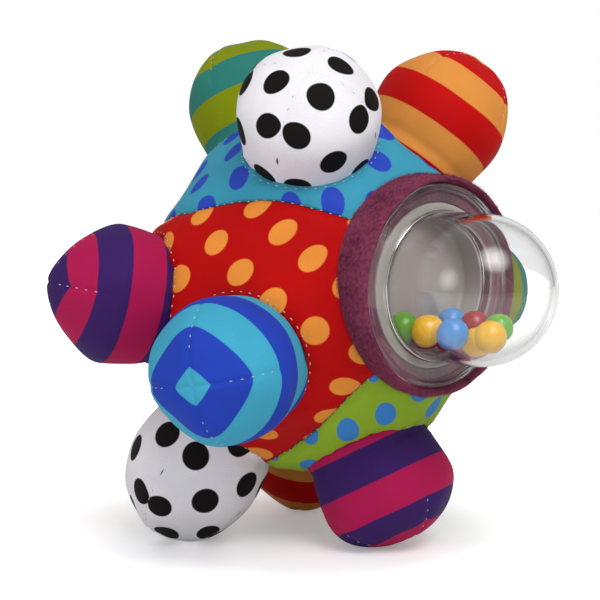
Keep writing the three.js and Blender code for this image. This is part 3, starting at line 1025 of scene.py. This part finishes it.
@dataclass
class Stuffing:
    """The fibre fill inside the ball, with stepped pockets for the collar and the bead cup."""

    cloth: BallCloth
    finish: SpunFibre
    depth: float = 3.4 * MM
    pockets: tuple[tuple[float, float], ...] = ((48.6 * MM, 31.6 * MM), (41.3 * MM, 23.2 * MM))
    rows: int = 48
    columns: int = 72

    def build(self) -> bpy.types.Object:
        """Makes the fill as one closed, lumpy mass.

        Returns:
            The piece.
        """
        dome = self.cloth.dome
        tilt = np.linspace(2, 178, self.rows)[:, None]
        angle = np.linspace(0, 360, self.columns, endpoint=False)[None, :]
        angle, tilt = np.broadcast_arrays(angle, tilt)
        ways = dome.directions(angle, tilt)
        far = self.cloth.reach(ways) - self.depth
        far = far - 0.4 * MM * (1 + Ripple(21, 12 * MM).at(ways * self.cloth.radius))
        forward = ways @ dome.axis
        for floor, radius in self.pockets:
            stop = floor / np.maximum(forward, 0.1)
            aside = dome.centre + ways * stop[..., None] - dome.origin - dome.axis * floor
            inside = (forward > 0.1) & (np.linalg.norm(aside, axis=-1) < radius)
            far = np.where(inside, np.minimum(far, stop), far)
        points = (dome.centre + ways * far[..., None]).reshape(-1, 3)
        ends = [
            dome.centre + dome.gore_axis * far[0].min(),
            dome.centre - dome.gore_axis * far[-1].min(),
        ]
        points = np.concatenate([points, ends])
        near, end, last = len(points) - 2, len(points) - 1, (self.rows - 1) * self.columns
        faces = [face[::-1] for face in ring_faces(self.rows, self.columns)]
        faces += [(i, (i + 1) % self.columns, near) for i in range(self.columns)]
        faces += [(last + (i + 1) % self.columns, last + i, end) for i in range(self.columns)]
        piece = make_piece("stuffing_fill", points, faces, self.finish.material())
        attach(piece, BALL_BODY)
        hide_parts("stuffing")
        return piece


@dataclass
class StuffingPressure:
    """Swells the sewn cloth by the pressure of its stuffing, with its seams held."""

    pressure: float = 14.0
    frames: int = 20
    cap: float = 1.0 * MM
    mass: float = 0.002
    work: list[tuple[bpy.types.Object, np.ndarray]] = field(default_factory=list)

    def add(self, piece: bpy.types.Object, pins: np.ndarray) -> None:
        """Prepares one piece.

        Args:
            piece: the cloth.
            pins: how firmly each of its points is held, from 0 to 1.
        """
        group = piece.vertex_groups.new(name="sewn")
        for weight in np.unique(pins):
            group.add(np.where(pins == weight)[0].tolist(), float(weight), "REPLACE")
        cloth = piece.modifiers.new("Stuffing pressure", "CLOTH")
        cloth.settings.quality = 5
        cloth.settings.mass = self.mass
        cloth.settings.use_pressure = True
        cloth.settings.uniform_pressure_force = self.pressure
        cloth.settings.effector_weights.gravity = 0.0
        cloth.settings.vertex_group_mass = group.name
        cloth.settings.tension_stiffness = 6.0
        cloth.settings.compression_stiffness = 6.0
        cloth.settings.bending_stiffness = 0.3
        cloth.point_cache.frame_start = 1
        cloth.point_cache.frame_end = self.frames
        self.work.append((piece, coordinates(piece.data)))

    def run(self) -> None:
        """Steps the simulation and keeps its result, capped, in the meshes."""
        for step in range(1, self.frames + 1):
            bpy.context.scene.frame_set(step)
        graph = bpy.context.evaluated_depsgraph_get()
        for piece, rest in self.work:
            move = coordinates(piece.evaluated_get(graph).data) - rest
            size = np.linalg.norm(move, axis=1, keepdims=True)
            LOG.info("%s swells by up to %.2f mm", piece.name, size.max() / MM)
            move = move * np.minimum(1.0, self.cap / np.maximum(size, 1e-9))
            piece.modifiers.remove(piece.modifiers["Stuffing pressure"])
            piece.vertex_groups.clear()
            piece.data.vertices.foreach_set("co", (rest + move).astype(np.float32).ravel())
            piece.data.update()
        bpy.context.scene.frame_set(1)


# Sewing and pile, made by geometry nodes

class NodeSewing(NodeWork):
    """Builds one geometry node tree with named inputs and runs it on a carrier mesh."""

    def __init__(self, name: str, inputs: dict[str, str]) -> None:
        """Starts the tree.

        Args:
            name: the tree's name.
            inputs: socket types of the named inputs.
        """
        self.tree = bpy.data.node_groups.new(name, "GeometryNodeTree")
        self.tree.interface.new_socket("Geometry", in_out="INPUT", socket_type="NodeSocketGeometry")
        self.keys = {
            label: self.tree.interface.new_socket(label, in_out="INPUT", socket_type=kind).identifier
            for label, kind in inputs.items()}
        self.tree.interface.new_socket("Geometry", in_out="OUTPUT", socket_type="NodeSocketGeometry")
        self.entry = self.tree.nodes.new("NodeGroupInput").outputs

    def close(self, instances: Socket) -> None:
        """Makes the instances real, gives them their material and ends the tree."""
        real = self.add("GeometryNodeRealizeInstances", {0: instances})
        smooth = self.add("GeometryNodeSetShadeSmooth", {0: real.outputs[0]})
        coloured = self.add("GeometryNodeSetMaterial", {
            "Geometry": smooth.outputs[0], "Material": self.entry["Material"]})
        self.add("NodeGroupOutput", {0: coloured.outputs[0]})

    def make(self, name: str, mesh: bpy.types.Mesh, values: dict[str, object]) -> bpy.types.Object:
        """Runs the tree and keeps its result as a plain mesh.

        Args:
            name: the new piece's name.
            mesh: what the tree works on.
            values: the named inputs.

        Returns:
            The piece.
        """
        carrier = bpy.data.objects.new(name + "_carrier", mesh)
        bpy.context.scene.collection.objects.link(carrier)
        modifier = carrier.modifiers.new("Sewing", "NODES")
        modifier.node_group = self.tree
        for label, value in values.items():
            modifier[self.keys[label]] = value
        graph = bpy.context.evaluated_depsgraph_get()
        result = bpy.data.meshes.new_from_object(carrier.evaluated_get(graph))
        bpy.data.objects.remove(carrier)
        result.name = name
        piece = bpy.data.objects.new(name, result)
        bpy.context.scene.collection.objects.link(piece)
        return piece


@dataclass
class Stitching:
    """Runs of short stitches in white thread."""

    pitch: float = 2.9 * MM
    length: float = 0.9 * MM
    thickness: float = 0.32 * MM
    finish: SpunFibre = SpunFibre("sewing_thread", "bdb6b4")

    def tree(self) -> NodeSewing:
        """Returns the tree that sets a stitch at each step along its carrier's edges."""
        sewing = NodeSewing("stitch_runs", {
            "Pitch": "NodeSocketFloat", "Length": "NodeSocketFloat", "Thickness": "NodeSocketFloat",
            "Material": "NodeSocketMaterial"})
        path = sewing.add("GeometryNodeMeshToCurve", {0: sewing.entry["Geometry"]})
        steps = sewing.add("GeometryNodeResampleCurve", {
            "Curve": path.outputs[0], "Length": sewing.entry["Pitch"]}, mode="LENGTH")
        size = sewing.add("ShaderNodeCombineXYZ", {
            0: sewing.entry["Length"], 1: sewing.entry["Thickness"], 2: sewing.entry["Thickness"]})
        stitch = sewing.add("GeometryNodeMeshUVSphere", {"Segments": 8, "Rings": 6, "Radius": 0.5})
        tangent = sewing.add("GeometryNodeInputTangent")
        turned = sewing.add(
            "FunctionNodeAlignRotationToVector", {"Vector": tangent.outputs[0]}, axis="X")
        placed = sewing.add("GeometryNodeInstanceOnPoints", {
            "Points": steps.outputs[0], "Instance": stitch.outputs["Mesh"],
            "Rotation": turned.outputs[0], "Scale": size.outputs[0]})
        sewing.close(placed.outputs[0])
        return sewing

    def sew(self, name: str, lines: list[np.ndarray], sewing: NodeSewing) -> bpy.types.Object:
        """Sews along paths.

        Args:
            name: the piece's name.
            lines: the paths, as points in the shared frame.
            sewing: the tree from tree().

        Returns:
            The stitches as one piece.
        """
        points = np.concatenate(lines)
        edges = []
        start = 0
        for line in lines:
            edges += [(start + i, start + i + 1) for i in range(len(line) - 1)]
            start += len(line)
        mesh = bpy.data.meshes.new(name + "_paths")
        mesh.from_pydata(points.tolist(), edges, [])
        material = dressed(self.finish)
        piece = sewing.make(name, mesh, {
            "Pitch": self.pitch,
            "Length": self.length,
            "Thickness": self.thickness,
            "Material": material,
        })
        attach(piece, BALL_BODY)
        return piece


@dataclass
class VelourCollar:
    """The soft velour ring round the dome, with a shelf under its flange and a short pile."""

    cloth: BallCloth
    inner: float = 30.4 * MM
    width: float = 2.3 * MM
    top: float = 56.2 * MM
    shelf_inner: float = 24.9 * MM
    shelf_top: float = 51.6 * MM
    sunk: float = 0.6 * MM
    squareness: float = 2.7
    sides: int = 200
    profile_steps: int = 28
    fibres: float = 1.9e6
    fibre_length: float = 0.9 * MM
    seed: int = 4
    finish: Velour = Velour("maroon_velour", "49182e", "893f58")

    def build(self) -> bpy.types.Object:
        """Makes the ring, which lies on the cloth all round.

        Returns:
            The piece.
        """
        dome = self.cloth.dome
        middle = self.inner + self.width / 2
        spokes = dome.spokes(self.sides)
        foot = np.full(self.sides, self.cloth.dome_seat)
        for _ in range(12):
            away = dome.origin + dome.axis * foot[:, None] + spokes * middle - dome.centre
            foot = foot + self.cloth.reach(unit(away)) - np.linalg.norm(away, axis=1)
        foot = foot - self.sunk
        lumps = Ripple(31, 9 * MM).at(spokes * middle)
        rings = []
        for step in range(self.profile_steps):
            a = 2 * math.pi * step / self.profile_steps
            out = math.copysign(abs(math.cos(a)) ** (2 / self.squareness), math.cos(a))
            up = math.copysign(abs(math.sin(a)) ** (2 / self.squareness), math.sin(a))
            radius = middle + self.width / 2 * out + 0.2 * MM * lumps * max(0.0, out)
            along = (foot + self.top) / 2 + (self.top - foot) / 2 * up
            rings.append(dome.origin + dome.axis * along[:, None] + spokes * np.reshape(radius, (-1, 1)))
        faces = ring_faces(self.profile_steps, self.sides, closed=True)
        self.material = self.finish.material()
        piece = make_piece("velour_ring", np.concatenate(rings), faces, self.material)
        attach(piece, BALL_BODY)
        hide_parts("velour_collar")
        return piece

    def shelf(self) -> bpy.types.Object:
        """Makes the flat part of the ring, which shows through the dome's flange.

        Returns:
            The piece.
        """
        bottom = self.shelf_top - 2.4 * MM
        profile = [(self.shelf_inner, bottom), (self.inner + 0.4 * MM, bottom)]
        profile += arc((self.inner + 0.1 * MM, self.shelf_top - 0.6 * MM), 0.6 * MM, 0, 90, 4)
        profile += arc((self.shelf_inner + 0.6 * MM, self.shelf_top - 0.6 * MM), 0.6 * MM, 90, 180, 4)
        piece = self.cloth.dome.lathe("velour_shelf", profile, self.sides, self.material, closed=True)
        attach(piece, BALL_BODY)
        return piece

    def pile(self, ring: bpy.types.Object) -> bpy.types.Object:
        """Covers the ring with short fibres.

        Args:
            ring: the piece from build().

        Returns:
            The fibres as one piece.
        """
        sewing = NodeSewing("velour_pile", {
            "Density": "NodeSocketFloat", "Fibre Length": "NodeSocketFloat", "Seed": "NodeSocketInt",
            "Material": "NodeSocketMaterial"})
        roots = sewing.add("GeometryNodeDistributePointsOnFaces", {
            "Mesh": sewing.entry["Geometry"],
            "Density": sewing.entry["Density"],
            "Seed": sewing.entry["Seed"],
        })
        fibre = sewing.add("GeometryNodeMeshCone", {
            "Vertices": 3, "Radius Top": 0.0, "Radius Bottom": 0.07, "Depth": 1.0}, fill_type="NONE")
        lean = sewing.add("FunctionNodeRandomValue", {
            0: (-0.7, -0.7, 0.0),
            1: (0.7, 0.7, 3.1),
            "Seed": sewing.entry["Seed"],
        }, data_type="FLOAT_VECTOR")
        leaning = sewing.add("FunctionNodeEulerToRotation", {0: lean.outputs[0]})
        turned = sewing.add("FunctionNodeRotateRotation", {
            0: roots.outputs["Rotation"], 1: leaning.outputs[0]}, rotation_space="LOCAL")
        spread = sewing.add("FunctionNodeRandomValue", {
            2: 0.6, 3: 1.2, "Seed": sewing.entry["Seed"]}, data_type="FLOAT")
        size = sewing.add("ShaderNodeMath", {
            0: spread.outputs[1], 1: sewing.entry["Fibre Length"]}, operation="MULTIPLY")
        placed = sewing.add("GeometryNodeInstanceOnPoints", {
            "Points": roots.outputs["Points"], "Instance": fibre.outputs["Mesh"],
            "Rotation": turned.outputs[0], "Scale": size.outputs[0]})
        sewing.close(placed.outputs[0])
        piece = sewing.make("velour_pile", ring.data.copy(), {
            "Density": self.fibres, "Fibre Length": self.fibre_length, "Seed": self.seed,
            "Material": self.material})
        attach(piece, BALL_BODY)
        return piece


@dataclass
class RattleDome:
    """The clear dome, its flange with a raised rim, and the bead cup under it."""

    axis: DomeAxis = field(default_factory=DomeAxis)
    seat: float = 52.0 * MM
    radius: float = 22.0 * MM
    wall: float = 1.6 * MM
    straight: float = 18.5 * MM
    fillet: float = 2.0 * MM
    flange_radius: float = 30.0 * MM
    flange_thickness: float = 1.8 * MM
    rim_height: float = 1.0 * MM
    rim_width: float = 1.6 * MM
    edge: float = 0.45 * MM
    plate: float = 1.5 * MM
    cup_depth: float = 7.8 * MM
    lip: float = 24.5 * MM
    gap: float = 0.35 * MM
    sides: int = 160
    shell_finish: ClearPlastic = ClearPlastic("clear_plastic", "e8eceb")
    cup_finish: MouldedPlastic = MouldedPlastic("pale_plastic", "a69e98", 0.34)

    def shell(self) -> bpy.types.Object:
        """Makes the clear dome.

        Returns:
            The piece.
        """
        chamber = self.radius - self.wall
        middle = self.seat + self.straight
        top = self.seat + self.flange_thickness
        rim = top + self.rim_height
        out = self.flange_radius
        e = self.edge
        profile = arc((0, middle), chamber, 90, 0, 36)
        profile += [(chamber, self.seat + e)]
        profile += arc((chamber + e, self.seat + e), e, 180, 270, 4)
        profile += arc((out - e, self.seat + e), e, 270, 360, 4)
        profile += arc((out - e, rim - e), e, 0, 90, 5)
        profile += arc((out - self.rim_width + e, rim - e), e, 90, 160, 5)
        profile += arc((out - self.rim_width - 0.9 * self.rim_height, top + e), e, 300, 270, 3)
        profile += arc((self.radius + self.fillet, top + self.fillet), self.fillet, 270, 180, 8)
        profile += arc((0, middle), self.radius, 0, 90, 40)
        piece = self.axis.lathe("dome_shell", guarded(profile), self.sides, self.shell_finish.material())
        piece.visible_shadow = False
        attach(piece, BALL_BODY)
        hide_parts("clear_dome")
        return piece

    def cup(self) -> bpy.types.Object:
        """Makes the moulded cup that closes the bead chamber.

        Returns:
            The piece.
        """
        chamber = self.radius - self.wall
        plate_top = self.seat - self.gap
        floor = plate_top - self.cup_depth
        outer = chamber + self.plate
        e = self.edge
        profile = [(0, floor - self.plate)]
        profile += arc((outer - 2 * e, floor - self.plate + 2 * e), 2 * e, 270, 360, 5)
        profile += [(outer, plate_top - self.plate)]
        profile += arc((self.lip - e, plate_top - self.plate + e), e, 270, 360, 3)
        profile += arc((self.lip - e, plate_top - e), e, 0, 90, 3)
        profile += arc((chamber + e, plate_top - e), e, 90, 180, 4)
        profile += arc((chamber - 3 * e, floor + 3 * e), 3 * e, 0, -90, 6)
        profile += [(0, floor)]
        piece = self.axis.lathe("bead_cup", guarded(profile), self.sides, self.cup_finish.material())
        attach(piece, BALL_BODY)
        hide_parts("dome_base")
        return piece


@dataclass
class RattleBead:
    """One loose bead: a moulded ball with a fine parting line."""

    node: str
    finish: MouldedPlastic
    slot: str
    seam_height: float = 0.05 * MM
    seam_width: float = 0.12

    def build(self) -> bpy.types.Object:
        """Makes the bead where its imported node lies.

        Returns:
            The piece.
        """
        low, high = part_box(self.node)
        centre = np.array((low + high) / 2)
        radius = min(high - low) / 2 - self.seam_height
        tilt = np.radians(np.linspace(0, 180, 33))[1:-1, None]
        angle = np.linspace(0, 2 * math.pi, 48, endpoint=False)[None, :]
        far = radius + self.seam_height * np.exp(-((tilt - math.pi / 2) / self.seam_width) ** 2)
        lean = Vector((0.4, 0.7, 0.6)).to_track_quat("Z", "Y").to_matrix()
        rings = np.stack(np.broadcast_arrays(
            np.sin(tilt) * np.cos(angle), np.sin(tilt) * np.sin(angle), np.cos(tilt)), -1)
        points = (rings * far[..., None]).reshape(-1, 3)
        points = np.concatenate([points, [(0, 0, radius), (0, 0, -radius)]]) @ np.array(lean).T + centre
        rows, columns = rings.shape[:2]
        last = (rows - 1) * columns
        faces = [face[::-1] for face in ring_faces(rows, columns)]
        faces += [(i, (i + 1) % columns, rows * columns) for i in range(columns)]
        faces += [(last + (i + 1) % columns, last + i, rows * columns + 1) for i in range(columns)]
        material = dressed(self.finish)
        piece = make_piece(self.node + "_ball", points, faces, material)
        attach(piece, self.node)
        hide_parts(self.node)
        return piece


# The studio

@dataclass
class Studio:
    """A pale floor with a painted glow, soft lights and the camera."""

    elevation: float = 4.0
    distance: float = 500 * MM
    lens: float = 93.75
    sensor: float = 36.0
    picture: float = 600.0
    middle_pixel: tuple[float, float] = (317.0, 292.0)
    floor_size: float = 6.0
    sky: float = 0.5
    key_power: float = 5.8
    fill_power: float = 1.2
    floor_glow: float = 0.26
    side_level: float = 0.35
    lamp_middle: float = 2.4
    lamp_fade: tuple[float, float] = (0.1, 0.5)
    key_place: tuple[float, float, float] = (0.26, -0.6, 0.8)
    key_size: float = 0.8
    fill_place: tuple[float, float, float] = (-0.7, -0.5, 0.35)
    fill_size: float = 0.6
    behind: tuple[float, float] = (0.75, 0.93)
    horizon_level: float = 0.6
    horizon_band: tuple[float, float] = (0.0, 0.4)
    # The floor's painted glow, and the painted shade that the clear dome sees in it under the ball and at
    # the sides.
    shadow_reach: tuple[float, float] = (0.05, 0.14)
    under_shade_level: float = 0.05
    under_shade_reach: tuple[float, float] = (0.2, 0.5)
    floor_side_shade: tuple[float, float] = (0.86, 0.945)

    def camera(self) -> None:
        """Sets the camera at the photograph's angle and framing."""
        lens = bpy.data.cameras.new("camera")
        lens.lens = self.lens
        lens.sensor_width = self.sensor
        lens.shift_x = -(self.middle_pixel[0] - self.picture / 2) / self.picture
        lens.shift_y = -(self.picture / 2 - self.middle_pixel[1]) / self.picture
        lens.clip_start = 0.01
        eye = bpy.data.objects.new("camera", lens)
        bpy.context.scene.collection.objects.link(eye)
        rise = math.radians(self.elevation)
        away = np.array([0.0, -math.cos(rise), math.sin(rise)])
        eye.location = DomeAxis().centre + away * self.distance
        eye.rotation_euler = (math.pi / 2 - rise, 0, 0)
        bpy.context.scene.camera = eye

    def _lamp(self, name: str, place: tuple[float, float, float], size: float, power: float) -> None:
        """Hangs one round lamp that faces the ball and fades towards its edge."""
        light = bpy.data.lights.new(name, "AREA")
        light.shape = "DISK"
        light.size = size
        light.energy = power
        light.use_nodes = True
        bench = NodeBench.on(light.node_tree)
        spot = bench.add("ShaderNodeNewGeometry").outputs["Parametric"]
        flat = bench.vector("MULTIPLY", spot, (1, 1, 0))
        away = bench.vector("SUBTRACT", flat, (0.5, 0.5, 0))
        level = bench.remap(bench.length(away), self.lamp_fade, (self.lamp_middle, 0.0))
        shader = bench.add("ShaderNodeEmission", {"Color": (1, 1, 1, 1), "Strength": level})
        output = bench.add("ShaderNodeOutputLight")
        bench.tree.links.new(shader.outputs[0], output.inputs["Surface"])
        lamp = bpy.data.objects.new(name, light)
        bpy.context.scene.collection.objects.link(lamp)
        lamp.location = place
        aim_at = Vector(DomeAxis().centre) - Vector(place)
        lamp.rotation_euler = aim_at.to_track_quat("-Z", "Y").to_euler()

    def _by_ray(self, bench: NodeBench, others: float, levels: dict[str, Socket | float]) -> Socket:
        """Chooses a level by the kind of ray.

        Args:
            bench: the nodes to add to.
            others: the level for all the other rays.
            levels: levels for the kinds of ray that Light Path names, the last one ruling.

        Returns:
            The level.
        """
        path = bench.add("ShaderNodeLightPath").outputs
        total: Socket | float = others
        for label, level in levels.items():
            node = bench.add("ShaderNodeMix", {0: path[label], 2: total, 3: level})
            total = node.outputs[0]
        return total

    def lights(self) -> None:
        """Sets a white room, grey at its sides as gloss and clear plastic see it, and two soft lamps."""
        world = bpy.data.worlds.new("studio")
        bpy.context.scene.world = world
        world.use_nodes = True
        bench = NodeBench.on(world.node_tree)
        way = bench.add("ShaderNodeTexCoord").outputs["Generated"]
        parts = bench.add("ShaderNodeSeparateXYZ", {0: way}).outputs
        through = bench.remap(parts["Y"], self.behind, (self.side_level, 1.0))
        mirrored = bench.remap(parts["Z"], self.horizon_band, (self.horizon_level, self.side_level))
        strength = self._by_ray(bench, self.sky, {
            "Is Glossy Ray": mirrored, "Is Transmission Ray": through, "Is Camera Ray": 1.0})
        shader = bench.add("ShaderNodeBackground", {"Color": (1, 1, 1, 1), "Strength": strength})
        output = bench.add("ShaderNodeOutputWorld")
        bench.tree.links.new(shader.outputs[0], output.inputs["Surface"])
        self._lamp("key_lamp", self.key_place, self.key_size, self.key_power)
        self._lamp("fill_lamp", self.fill_place, self.fill_size, self.fill_power)

    def floor(self) -> None:
        """Lays the pale floor, which glows with painted light. To the camera it glows less near the ball, so
        that the real shadows show there. Seen through the clear dome, it glows little under the ball and at
        the sides, which is painted shade that gives the dome grey edges.
        """
        half = self.floor_size / 2
        points = np.array([(-half, -half, 0), (half, -half, 0), (half, half, 0), (-half, half, 0)])
        bench = NodeBench("pale_floor")
        grain = bench.noise(bench.place(), 3.0, 2.0)
        colour = bench.blend(grain, paint("f8f8f8"), paint("fbfbfb"))
        away = bench.length(bench.place())
        near = bench.remap(away, self.shadow_reach, (self.floor_glow, 1.0))
        behind = bench.add("ShaderNodeSeparateXYZ", {0: bench.place()}).outputs["Y"]
        straight = bench.remap(
            bench.math("DIVIDE", behind, away), self.floor_side_shade, (self.side_level, 1.0))
        farther = bench.remap(away, self.under_shade_reach, (self.under_shade_level, 1.0))
        through = bench.math("MINIMUM", farther, straight)
        # Painted light and shade: the floor's emission by kind of ray, lower near the ball for the camera,
        # and dark under the ball and at the sides through the clear dome.
        glow = self._by_ray(bench, 0.0, {"Is Transmission Ray": through, "Is Camera Ray": near})
        shader = bench.add("ShaderNodeBsdfPrincipled", {
            "Base Color": colour, "Roughness": 0.4, "Specular IOR Level": 0.3,
            "Emission Color": (1, 1, 1, 1), "Emission Strength": glow})
        floor = make_piece("studio_floor", points, [(0, 1, 2, 3)], bench.finish(shader))

    def build(self) -> None:
        """Sets up the camera, the lights and the floor."""
        self.camera()
        self.lights()
        self.floor()


# What the ball is made of

SPOTTED = PrintedCloth(
    "spotted_cloth", "e9e7ec", "141010", Pattern.DOTS, pitch=14.6 * MM, dot_radius=4.25 * MM)
ORANGE_RED = PrintedCloth("orange_red_cloth", "bc0606", "d88c40", Pattern.STRIPES)
LIME_TEAL = PrintedCloth("lime_teal_cloth", "7e8a04", "2c7a70", Pattern.STRIPES)
MAGENTA_PURPLE = PrintedCloth("magenta_purple_cloth", "391d5e", "aa174d", Pattern.STRIPES)
BLUE_TURQUOISE = PrintedCloth("blue_turquoise_cloth", "40a2c0", "2340b0", Pattern.STRIPES)
TEAL = PrintedCloth("teal_cloth", "3c98b4", "2d48b8", Pattern.DOTS)
RED = PrintedCloth("red_cloth", "b40404", "e48c38", Pattern.DOTS)
LIME = PrintedCloth("lime_cloth", "8aab2b", "3c80c4", Pattern.DOTS)
PURPLE = PrintedCloth("purple_cloth", "391d5e", "aa174d", Pattern.DOTS)


class KnobPlan(NamedTuple):
    """Where one knob is sewn in, where its tip points, and what it is cut from."""

    name: str
    seat: tuple[float, float]
    tip: tuple[float, float]
    turn: float
    finish: PrintedCloth
    length: float = 34.0
    print_start: float = 6.6
    fullness: tuple[float, float] = (2.1, 1.8)


KNOB_PLAN = [
    KnobPlan("knob_white_spotted_top", (-5.6, 59.0), (-2.7, 53.3), 65, SPOTTED, 31.0, 10.3),
    KnobPlan("knob_orange_red", (84.4, 54.7), (92.4, 54.8), 40, ORANGE_RED, 36.0, 14.3),
    KnobPlan("knob_lime_teal_top", (-130.7, 65.3), (-132.9, 65.0), 15, LIME_TEAL, 34.0, 10.4),
    KnobPlan(
        "knob_magenta_purple_side", (-68.1, -1.5), (-68.3, 3.5), 0, MAGENTA_PURPLE, 34.0, 1.5, (1.45, 1.4)),
    KnobPlan("knob_blue_turquoise_front", (-24.5, -18.5), (-23.6, -13.5), 8, BLUE_TURQUOISE),
    KnobPlan("knob_lime_teal_side", (124.3, -1.1), (124.3, -1.1), 10, LIME_TEAL, 34.0, 15.4),
    KnobPlan("knob_blue_turquoise_back", (172.3, 26.1), (172.3, 26.1), 30, BLUE_TURQUOISE),
    KnobPlan("knob_white_spotted_back", (-139.3, -4.8), (-139.3, -4.8), 5, SPOTTED, 34.0, 10.3),
    KnobPlan("foot_knob_white_spotted", (-76.7, -53.7), (-81.0, -55.0), 25, SPOTTED, 36.9, 10.3),
    KnobPlan("foot_knob_magenta_purple", (44.7, -64.7), (52.6, -64.3), 35, MAGENTA_PURPLE, 30.3, 9.5),
    KnobPlan("foot_knob_orange_red", (-173.7, -57.0), (-173.7, -57.0), 10, ORANGE_RED, 34.3, 17.4),
]
GORE_PLAN = [
    ("gore_teal", 0, 1, TEAL, "teal_cloth"),
    ("gore_red", 1, 2, RED, "red_cloth"),
    ("gore_lime", 2, 3, LIME, "lime_cloth"),
    ("gore_purple", 3, 0, PURPLE, "purple_cloth"),
]
BEAD_COLOURS = {"green": "62a32a", "yellow": "e5b01a", "blue": "4288ca", "red": "9a0d14"}


def build_knobs(pressure: StuffingPressure) -> list[PaddedKnob]:
    """Builds the knobs and hands them to the stuffing's pressure.

    Args:
        pressure: the simulation that swells them.

    Returns:
        The knobs, in the order in which they are sewn in.
    """
    knobs: list[PaddedKnob] = []
    for seed, plan in enumerate(KNOB_PLAN, 1):
        knob = PaddedKnob(
            plan.name, plan.seat, plan.tip, plan.turn, plan.finish, plan.finish.name,
            length=plan.length * MM, print_start=plan.print_start * MM,
            dart_fullness=plan.fullness[0], petal_fullness=plan.fullness[1], seed=seed)
        piece = knob.build(knobs)
        piece.name = plan.name + "_cover"
        knobs.append(knob)
        pressure.add(piece, knob.pins())
        LOG.info("knob %s: %d faces", piece.name, len(piece.data.polygons))
    return knobs


def build_gores(cloth: BallCloth, pressure: StuffingPressure) -> list[Gore]:
    """Builds the gores and hands them to the stuffing's pressure.

    Args:
        cloth: the ball's skin.
        pressure: the simulation that swells them.

    Returns:
        The gores.
    """
    gores = []
    for name, first, last, finish, slot in GORE_PLAN:
        gore = Gore(name, first, last, finish, slot, cloth)
        piece = gore.build()
        piece.name = name + "_cover"
        gores.append(gore)
        pressure.add(piece, gore.pins())
        LOG.info("gore %s: %d faces", piece.name, len(piece.data.polygons))
    return gores


def build_beads() -> None:
    """Builds the loose beads, each on its own body."""
    for node in sorted(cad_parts):
        if node.startswith("bead_"):
            colour = node.split("_")[1]
            finish = MouldedPlastic(colour + "_bead", BEAD_COLOURS[colour], 0.22, glow=0.15)
            piece = RattleBead(node, finish, colour + "_bead").build()
            LOG.info("bead %s", piece.name)


def main() -> None:
    """Builds the rattle ball, piece by piece, and the studio round it."""
    logging.basicConfig(level=logging.INFO, format="%(name)s: %(message)s")
    Studio().build()
    pressure = StuffingPressure()
    knobs = build_knobs(pressure)
    cloth = BallCloth(knobs)
    gores = build_gores(cloth, pressure)
    pressure.run()
    for part in [*knobs, *gores]:
        part.settle()
    LOG.info("stuffing %s", Stuffing(cloth, SpunFibre("fibre_fill", "f1eee8")).build().name)
    stitching = Stitching()
    sewing = stitching.tree()
    seams = stitching.sew("seam_stitches", cloth.seam_lines(), sewing)
    dart_lines = [line for knob in knobs for line in knob.dart_lines()]
    darts = stitching.sew("dart_stitches", dart_lines, sewing)
    LOG.info("stitches: %d and %d faces", len(seams.data.polygons), len(darts.data.polygons))
    collar = VelourCollar(cloth)
    ring = collar.build()
    shelf = collar.shelf()
    pile = collar.pile(ring)
    LOG.info("collar: %s, %s, %d fibre faces", ring.name, shelf.name, len(pile.data.polygons))
    dome = RattleDome()
    LOG.info("dome: %s, %s", dome.shell().name, dome.cup().name)
    build_beads()
    bpy.context.scene.view_settings.view_transform = "Standard"


if __name__ == "__main__":
    main()
